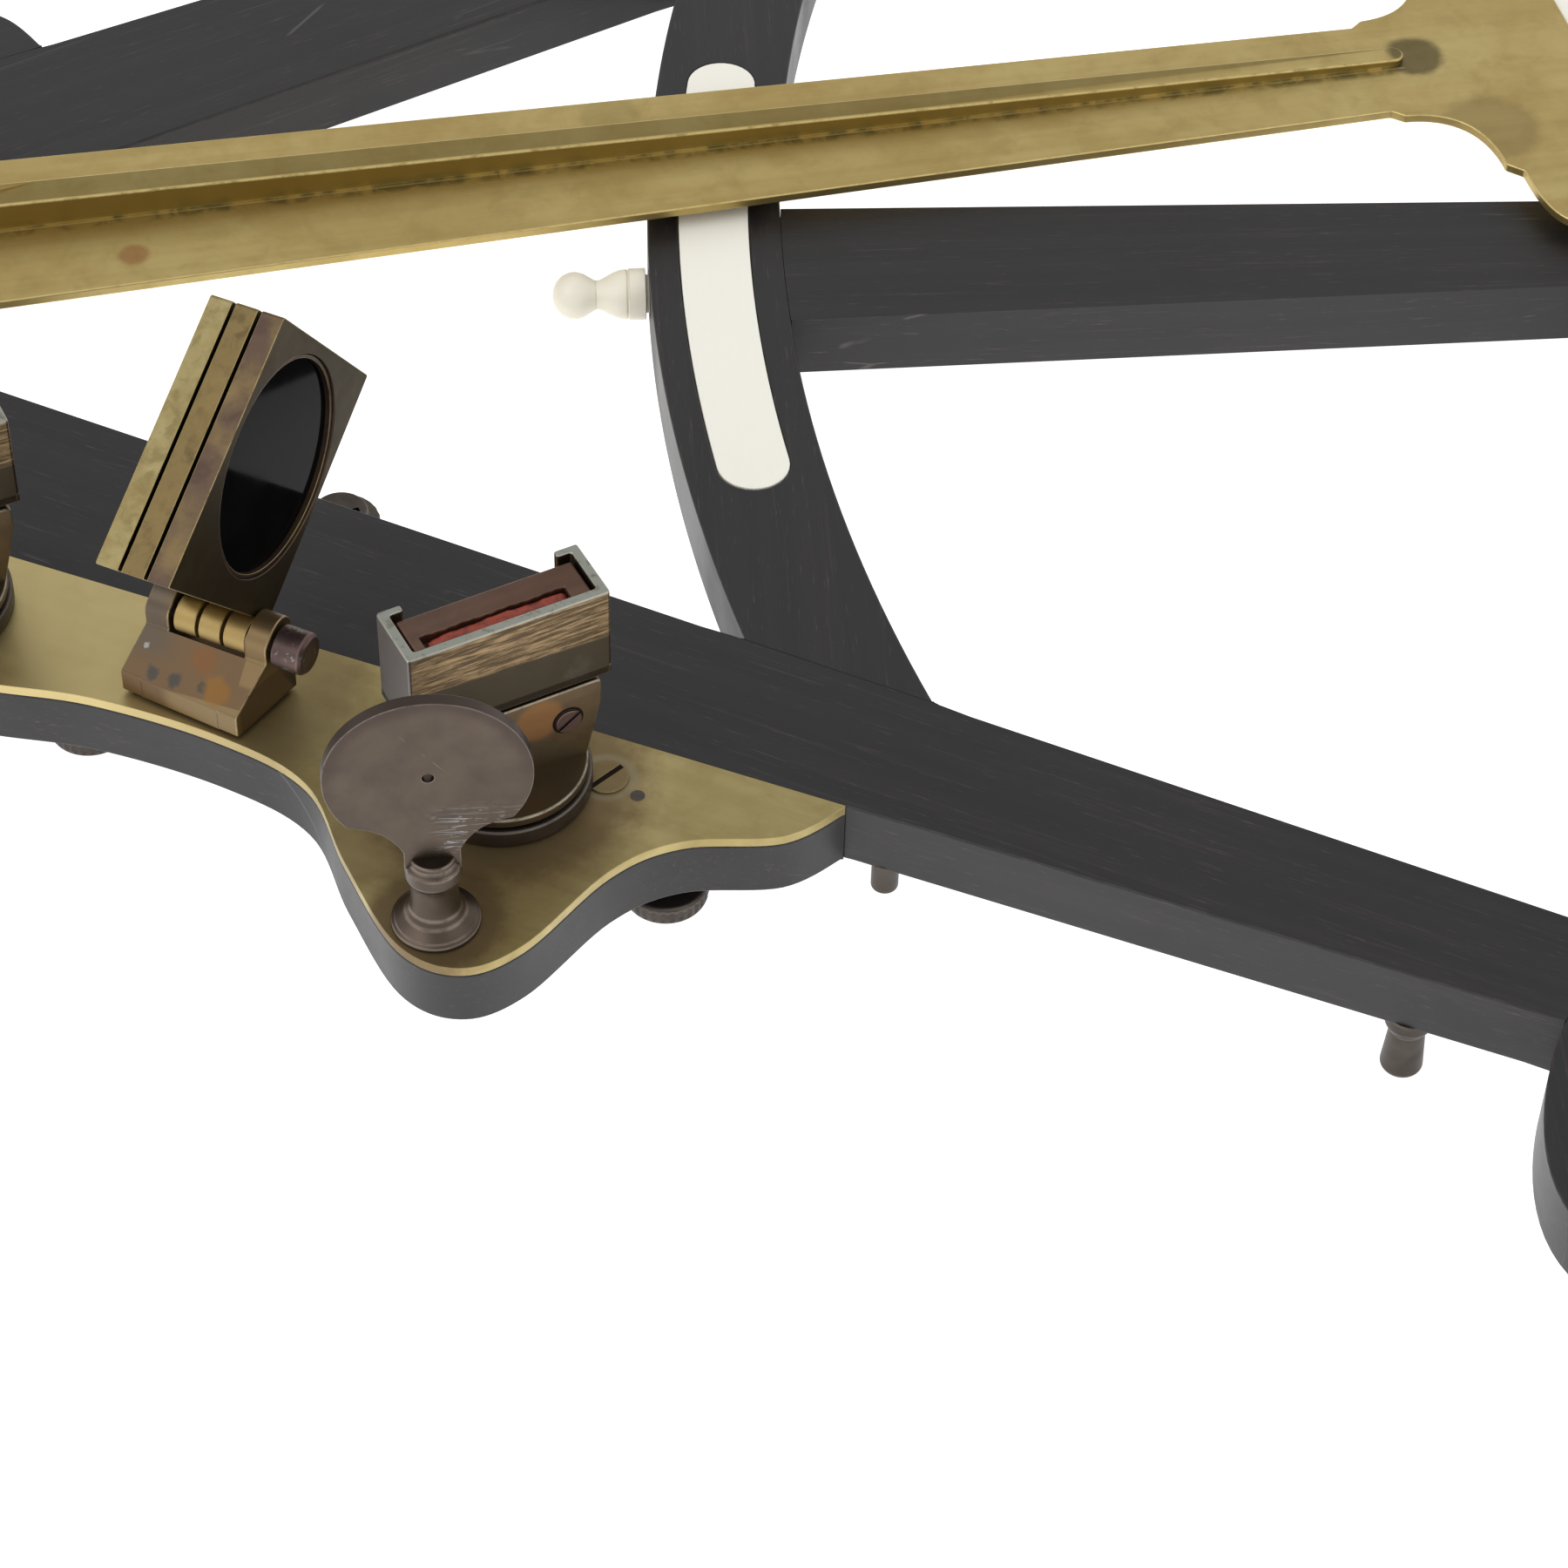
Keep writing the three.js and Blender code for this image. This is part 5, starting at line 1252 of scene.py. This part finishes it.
def make_horizon_mirror(prefix, lever_turn, lever_length):
    body = f"{prefix}_mirror"
    x, y, turn = MIRRORS[prefix]
    seat_top, stand_low, stand_top = 2.2, 2.5, 14.0
    tray_low, tray_top, width, depth = 14.75, 26.5, 22.7, 7.9

    def set_up(shells):
        return [shell.turned(turn, x, y) for shell in shells]

    put(f"{prefix}_seat_ring", set_up([soft_prism(disc(9.8), 0.02, seat_top, 0.3)]), "old_brass", "frame",
        [f"{prefix}_mirror_seat"])
    face = np.array([(-8.4, stand_low + 0.6), (8.4, stand_low + 0.6), (10.3, stand_top - 3),
                     (10.3, stand_top),
                     (-10.3, stand_top), (-10.3, stand_top - 3)])
    finish = f"{prefix}_mirror_brass"
    stand = [
        soft_prism(disc(9.4), stand_low, stand_low + 1.2, 0.3),
        soft_prism(disc(3), -FRAME_THICK - 0.6, stand_low + 0.5, 0.2),
        soft_prism(face, -depth / 2 + 0.25, depth / 2 - 0.25, 0.25, corner=0.7).moved(UPRIGHT),
        soft_block(-9, 9, -depth / 2 + 1.2, depth / 2 - 0.6, stand_top - 0.5, tray_low + 0.2, 0.1),
    ]
    put(f"{prefix}_mirror_body", set_up(stand), finish, body, [f"{prefix}_mirror_stand"])
    tray = [
        soft_prism(channel(width, depth, 1.1, 1.6) - [0, depth / 2], tray_low, tray_top, 0.2, corner=0.35),
        soft_block(-width / 2, width / 2, -depth / 2, depth / 2, tray_low, tray_low + 1.2, 0.15),
    ]
    put(f"{prefix}_mirror_box", set_up(tray), finish, body, [f"{prefix}_mirror_tray"])
    slot = ragged_slot(-8.6, 7.6, -2.55, -0.7)
    glass_top, bar_top = tray_top - 3, tray_top - 0.5
    packing = [
        soft_prism(rectangle(-9.95, 9.95, -2.82, 2.4), glass_top + 0.1, bar_top, 0.35,
                   pockets=[(slot, 1.3, [])], corner=0.4),
        soft_block(-9.95, 9.95, -2.82, 1.1, tray_low + 1.3, glass_top + 0.3, 0.1),
    ]
    put(f"{prefix}_mirror_packing", set_up(packing), "packing_brass", body,
        [f"{prefix}_mirror_backing"])
    put(f"{prefix}_mirror_wax", set_up([wax_line(-7.9, 7.5, -2.5, -0.75, bar_top - 1.35, bar_top - 0.3)]),
        "red_wax", body)
    glass = soft_block(-9.9, 9.9, 1.3, 2.8, tray_low + 1.3, glass_top, 0.12)
    put(f"{prefix}_mirror_plate_glass", set_up([glass]), "silvered_glass", body,
        [f"{prefix}_mirror_glass"])
    place = (6.3, -depth / 2 + 0.25, 9.6)
    screw = [shell.moved(UPRIGHT, place) for shell in slotted_head(1.5, -0.2, 0.35, depth=0.3, turn=35)]
    put(f"{prefix}_mirror_set_screw", set_up(screw), "screw_brass", body,
        [f"{prefix}_mirror_screw"])
    # painted shade: a thin dark disc round the set screw stands for the shade of its hole
    recess = soft_prism(disc(1.8, 40), -0.1, 0.02, 0.01).moved(UPRIGHT, place)
    put(f"{prefix}_screw_recess", set_up([recess]), "painted_recess_shade", body)

    top = -FRAME_THICK - 0.8
    bar = [
        soft_prism(disc(5.6), top - 2, top, 0.3),
        soft_prism(rectangle(0, lever_length, -2.4, 2.4), top - 1.6, top, 0.3),
        turned_body([(0, top - 4.4), (3.6, top - 4.4), (4.6, top - 3.8), (4.6, top - 1.6), (3.2, top - 1.2),
                     (3.2, top), (0, top)], 0.3, sides=96,
                    flutes=(24, 0.3, top - 3.8, top - 1.6)).moved(shift=(lever_length, 0, 0)),
    ]
    put(f"{prefix}_mirror_tangent_lever", [shell.turned(lever_turn, x, y) for shell in bar], "old_brass",
        body, [f"{prefix}_mirror_lever"])


def make_clamp_knob(name, x, y):
    low = -FRAME_THICK
    knob = turned_body([(0, low - 6.4), (3.8, low - 6.4), (4.5, low - 5.9), (4.7, low - 5.2),
                        (4.7, low - 4.1),
                        (4.4, low - 3.6), (2.4, low - 3.2), (2.4, low - 0.1), (1.6, low - 0.1),
                        (1.6, low + 4.6),
                        (0, low + 4.6)], 0.3, sides=144, flutes=(30, 0.28, low - 5.4, low - 3.9))
    put(f"{name}_head", knob.moved(shift=(x, y, 0)), "old_brass", name, [name])


# ---------------------------------------------------------------- shades

def skew(shell, middle):
    """The block was filed out of square: its front foot stands 1.9 mm to the left and turned by
    4 degrees."""
    share = np.clip((-1.5 - shell.points[:, 0]) / 4.7, 0, 1)
    shell.points[:, 0] -= 0.075 * (shell.points[:, 2] - middle) * share
    shell.points[:, 2] -= 1.9 * share


def make_shades():
    basis, shift = shade_axes()
    lean = shade_axes(SHADE_LEAN)[0]
    x, y = SHADE_LIGHT
    for number in (1, 2, 3):
        low = SHADE_ALONG - (3 - number) * SHADE_PITCH
        high = low + SHADE_THICK
        through, rebate = (disc(radius, 96, x, y) for radius in (10.8, 12.3))
        inner, outer = (disc(radius, 96, x, y) for radius in (11.8, 12.2))
        shells = [
            soft_prism(SHADE_CORNERS, low, high, 0.13, pockets=[(rebate, 1.5, [through])], corner=0.35),
            soft_prism(outer, high - 1.5, high - 0.22, 0.08, holes=[inner]),
            soft_prism(disc(2.1, 40), low, high, 0.16),
        ]
        put(f"shade_{number}_brass", [shell.moved(lean, shift) for shell in shells],
            f"shade_{number}_metal",
            f"shade_{number}", [f"shade_frame_{number}"])
        lens = turned_body([(0, high - 1.45), (11.82, high - 1.45), (11.82, high - 0.8), (0, high - 0.74)],
                           0.08, sides=96)
        put(f"shade_{number}_dark_glass", lens.moved(shift=(x, y, 0)).moved(lean, shift), "smoked_glass",
            f"shade_{number}", [f"shade_glass_{number}"])
    left = SHADE_ALONG - 2 * SHADE_PITCH - 0.3
    right = SHADE_ALONG + SHADE_THICK + 0.3
    pin = turned_body([(0, left - 2.9), (1.1, left - 2.9), (1.1, right + 3), (2.4, right + 3),
                       (2.4, right + 6.1),
                       (2, right + 6.6), (0, right + 6.6)], 0.2)
    put("shade_pin", pin.moved(basis, shift), "screw_brass", "frame", ["shade_pin_screw"])
    foot = 0.45 - PIN_Z
    ear = chain([(-6.2, foot), (3, foot)], circle_arc(0.4, 0.4, 2.6, 0, 180, 20),
                [(-2.2, -1.2), (-6.2, 3.3 - PIN_Z)])
    wedge = np.array([(-6.2, foot), (3, foot), (3, -3.9), (-2.2, -3.9), (-2.2, -1.2), (-6.2, 3.3 - PIN_Z)])
    sole = rectangle(-5.6, 2.4, 0.05 - PIN_Z, foot + 0.2)
    holder = [soft_prism(ear, left - 2.9, left, 0.2), soft_prism(ear, right, right + 2.7, 0.2),
              soft_prism(wedge, left - 0.4, right + 0.4, 0.12),
              soft_prism(sole, left - 2.2, right + 2, 0.05)]
    for shell in holder:
        skew(shell, (left + right) / 2)
    put("shade_hinge_block", [shell.moved(basis, shift) for shell in holder], "hinge_brass", "frame",
        ["shade_block"])


# ---------------------------------------------------------------- sight vanes

def make_back_vane():
    post = turned_body([(0, 0.05), (4.7, 0.05), (4.7, 0.5), (4.3, 0.75), (4.25, 0.9), (3.9, 1.15),
                        (3.2, 1.8), (2.7, 2.6),
                        (2.5, 3.5), (2.45, 5.8), (2.6, 6.7), (2.95, 7.3), (2.95, 8.9), (2.4, 9.4),
                        (2.4, 10.2), (0, 10.2)],
                       0.3, sides=64, sharp=14)
    middle, radius, shoulder = 22, 10.6, 52
    start = np.array([0, middle]) + polar(radius, -90 + shoulder)
    plate = chain(
        circle_arc(0, middle, radius, -90 + shoulder, 270 - shoulder, 90),
        bezier(start * [-1, 1], (-4.4, start[1] - 0.6), (-2.9, 11.2), steps=16),
        [(-2.9, 8.1), (2.9, 8.1)],
        bezier((2.9, 11.2), (4.4, start[1] - 0.6), start, steps=16),
    )
    hole = disc(0.6, 24, 0, middle)
    face = soft_prism(plate, -0.75, 0.75, 0.13, holes=[hole], corner=0.3).moved(UPRIGHT)
    put("back_vane", [shell.turned(3, *BACK_VANE) for shell in (post, face)], "vane_brass", "frame",
        ["back_sight_vane"])


def make_fore_vane():
    post = turned_body([(0, 0.02), (4.8, 0.02), (4.8, 1), (3.4, 1.8), (2.6, 2.6), (2.6, 6.8), (3.4, 7.6),
                        (3.4, 8.8),
                        (0, 8.8)], 0.35, sides=64)
    holes = [disc(0.9, 24, x, 21) for x in (-3.4, 3.4)]
    face = soft_prism(rectangle(-8, 8, 8, 32), -0.8, 0.8, 0.2, holes=holes, corner=3).moved(UPRIGHT)

    def set_up(shells):
        return [shell.turned(8, 24, 45) for shell in shells]

    put("fore_vane", set_up([post, face]), "arm_brass", "frame", ["fore_sight_vane"])
    leaf = chain(circle_arc(0, 28, 2.6, 0, 180, 20), [(-2.2, 21)], circle_arc(0, 21, 2.2, 180, 360, 20))
    flap = soft_prism(leaf, 1.1, 2, 0.15, holes=[disc(1.2, 20, 0, 28)])
    put("vane_shutter", set_up([flap.moved(UPRIGHT)]), "old_brass", "sight_shutter",
        ["sight_shutter"])
    screw = slotted_head(2.1, 2.2, 3.1, slot=0.45, depth=0.35, turn=50)
    screw.append(turned_body([(0, -1.6), (1, -1.6), (1, 2.3), (0, 2.3)], 0.1, sides=32))
    screw = [shell.moved(UPRIGHT, (0, 0, 28)) for shell in screw]
    put("shutter_screw", set_up(screw), "old_brass", "frame", ["sight_shutter_screw"])


# ---------------------------------------------------------------- pencil and feet

def make_pencil():
    face = BAR_CENTRE - BAR_FAR
    bead = [(0, face - 11.6), (0.9, face - 11.45), (1.7, face - 11.1), (2.4, face - 10.4),
            (2.8, face - 9.5),
            (2.85, face - 8.7), (2.6, face - 7.8), (2.1, face - 7), (1.75, face - 6.4), (1.8, face - 5.9),
            (2.15, face - 5.2), (2.7, face - 4.2), (2.95, face - 3.4), (3.0, face - 2.7)]
    body = [(3.0, face - 2.7), (2.85, face - 2.55), (3.1, face - 2.4), (3.1, face - 0.4), (2.3, face - 0.4),
            (2.3, face + 68), (0.6, face + 73), (0, face + 73)]
    pencil = turned_body(bead + body[1:], 0.12, sides=64, sharp=30)
    put("pencil", pencil.moved(ALONG_X, (0, 0, -4.1)), "bone", "note_pencil", ["note_pencil"])


def make_feet():
    low = -FRAME_THICK
    peg = turned_body([(0, low - 3.7), (1.5, low - 3.7), (1.5, low + 0.3), (0, low + 0.3)], 0.3, sides=32)
    put("peg", peg.moved(shift=(143, -89, 0)), "old_brass", "frame", ["limb_peg"])
    for name, x, y in (("apex_foot", -15.6, 0), ("left_foot", 196, -112.6), ("right_foot", 196, 112.6)):
        foot = turned_body([(0, low - FOOT_LENGTH), (1.7, low - FOOT_LENGTH),
                            (2.3, low - FOOT_LENGTH + 0.7),
                            (1.9, low - 2.2), (2.6, low - 1.2), (2.6, low + 0.3), (0, low + 0.3)], 0.3)
        put(f"{name}_stud", foot.moved(shift=(x, y, 0)), "old_brass", "frame", [name])


make_frame()
make_inlays()
make_side_blocks()
make_arm()
make_pivot()
make_clamp()
make_scale_marks()
make_index_mirror()
make_horizon_mirror("fore", 75, 38)
make_horizon_mirror("back", 109, 55)
make_clamp_knob("fore_clamp_knob", 56.5, -59.5)
make_clamp_knob("back_clamp_knob", 119.5, -87.2)
make_shades()
make_back_vane()
make_fore_vane()
make_pencil()
make_feet()

# A CAD node that is hidden still keeps a finish of its own.
for node in frame["nodes"].values():
    for index, old in enumerate(node.data.materials):
        name = old.name.split(".")[0]
        node.data.materials[index] = materials.get(name, materials["shade_1_metal"])


# ---------------------------------------------------------------- floor, light and camera

def make_floor():
    side = 6.0
    mesh = bpy.data.meshes.new("studio_floor")
    corners = [(-side, -side, 0), (side, -side, 0), (side, side, 0), (-side, side, 0)]
    mesh.from_pydata(corners, [], [(0, 1, 2, 3)])
    floor = bpy.data.objects.new("studio_floor", mesh)
    bpy.context.scene.collection.objects.link(floor)
    material = bpy.data.materials.new("floor_paper")
    material.use_nodes = True
    shader = material.node_tree.nodes["Principled BSDF"]
    shader.inputs["Base Color"].default_value = (0.6, 0.6, 0.6, 1)
    shader.inputs["Emission Color"].default_value = (1, 1, 1, 1)
    shader.inputs["Emission Strength"].default_value = 1.0
    shader.inputs["Roughness"].default_value = 0.9
    shader.inputs["Specular IOR Level"].default_value = 0.0
    mesh.materials.append(material)


def add_light(name, spot, aim, size, power):
    lamp = bpy.data.lights.new(name, "AREA")
    lamp.shape, lamp.size, lamp.energy = "DISK", size, power
    light = bpy.data.objects.new(name, lamp)
    light.location = spot
    light.rotation_euler = (Vector(aim) - Vector(spot)).to_track_quat("-Z", "Y").to_euler()
    bpy.context.scene.collection.objects.link(light)


def set_stage():
    scene = bpy.context.scene
    make_floor()
    world = bpy.data.worlds.new("studio")
    world.use_nodes = True
    sky = Nodes(world.node_tree)
    way = sky.add("ShaderNodeTexCoord").outputs["Generated"]
    height = sky.add("ShaderNodeSeparateXYZ", {0: way}).outputs[2]
    background = world.node_tree.nodes["Background"]
    background.inputs["Color"].default_value = (1, 1, 1, 1)
    sky.give(background.inputs["Strength"], sky.step(height, 0.25, 0.75, 1.0, 0.72))
    scene.world = world
    middle = (0.0, 0.0, 0.02)
    add_light("key_softbox", (-1.0, -0.5, 1.3), middle, 1.6, 9)
    add_light("fill_softbox", (1.2, -0.8, 1.1), middle, 1.4, 3.5)
    scene.view_settings.view_transform = "Standard"
    scene.view_settings.look = "None"


def set_camera():
    """A long lens 463 mm from the bench point that it looks at, raised 47 degrees, turned and rolled
    a little."""
    distance, raised, turned, rolled = 462.96 * MM, np.radians(47.0), np.radians(4.66), np.radians(1.5)
    target = pivot + np.array([132.2, -84.9, 0]) * MM
    look = np.array([np.sin(turned) * np.cos(raised), np.cos(turned) * np.cos(raised), -np.sin(raised)])
    right = unit(np.cross(look, [0, 0, 1]))
    up = np.cross(right, look)
    right, up = right * np.cos(rolled) + up * np.sin(rolled), up * np.cos(rolled) - right * np.sin(rolled)
    spot = target - look * distance
    lens = bpy.data.cameras.new("bench_camera")
    lens.lens, lens.sensor_width, lens.clip_start = 100, 36, 0.01
    camera = bpy.data.objects.new("bench_camera", lens)
    rotation = Matrix(np.stack([right, up, -look], 1).tolist())
    camera.matrix_world = Matrix.Translation(Vector(spot)) @ rotation.to_4x4()
    bpy.context.scene.collection.objects.link(camera)
    bpy.context.scene.camera = camera


set_stage()
set_camera()
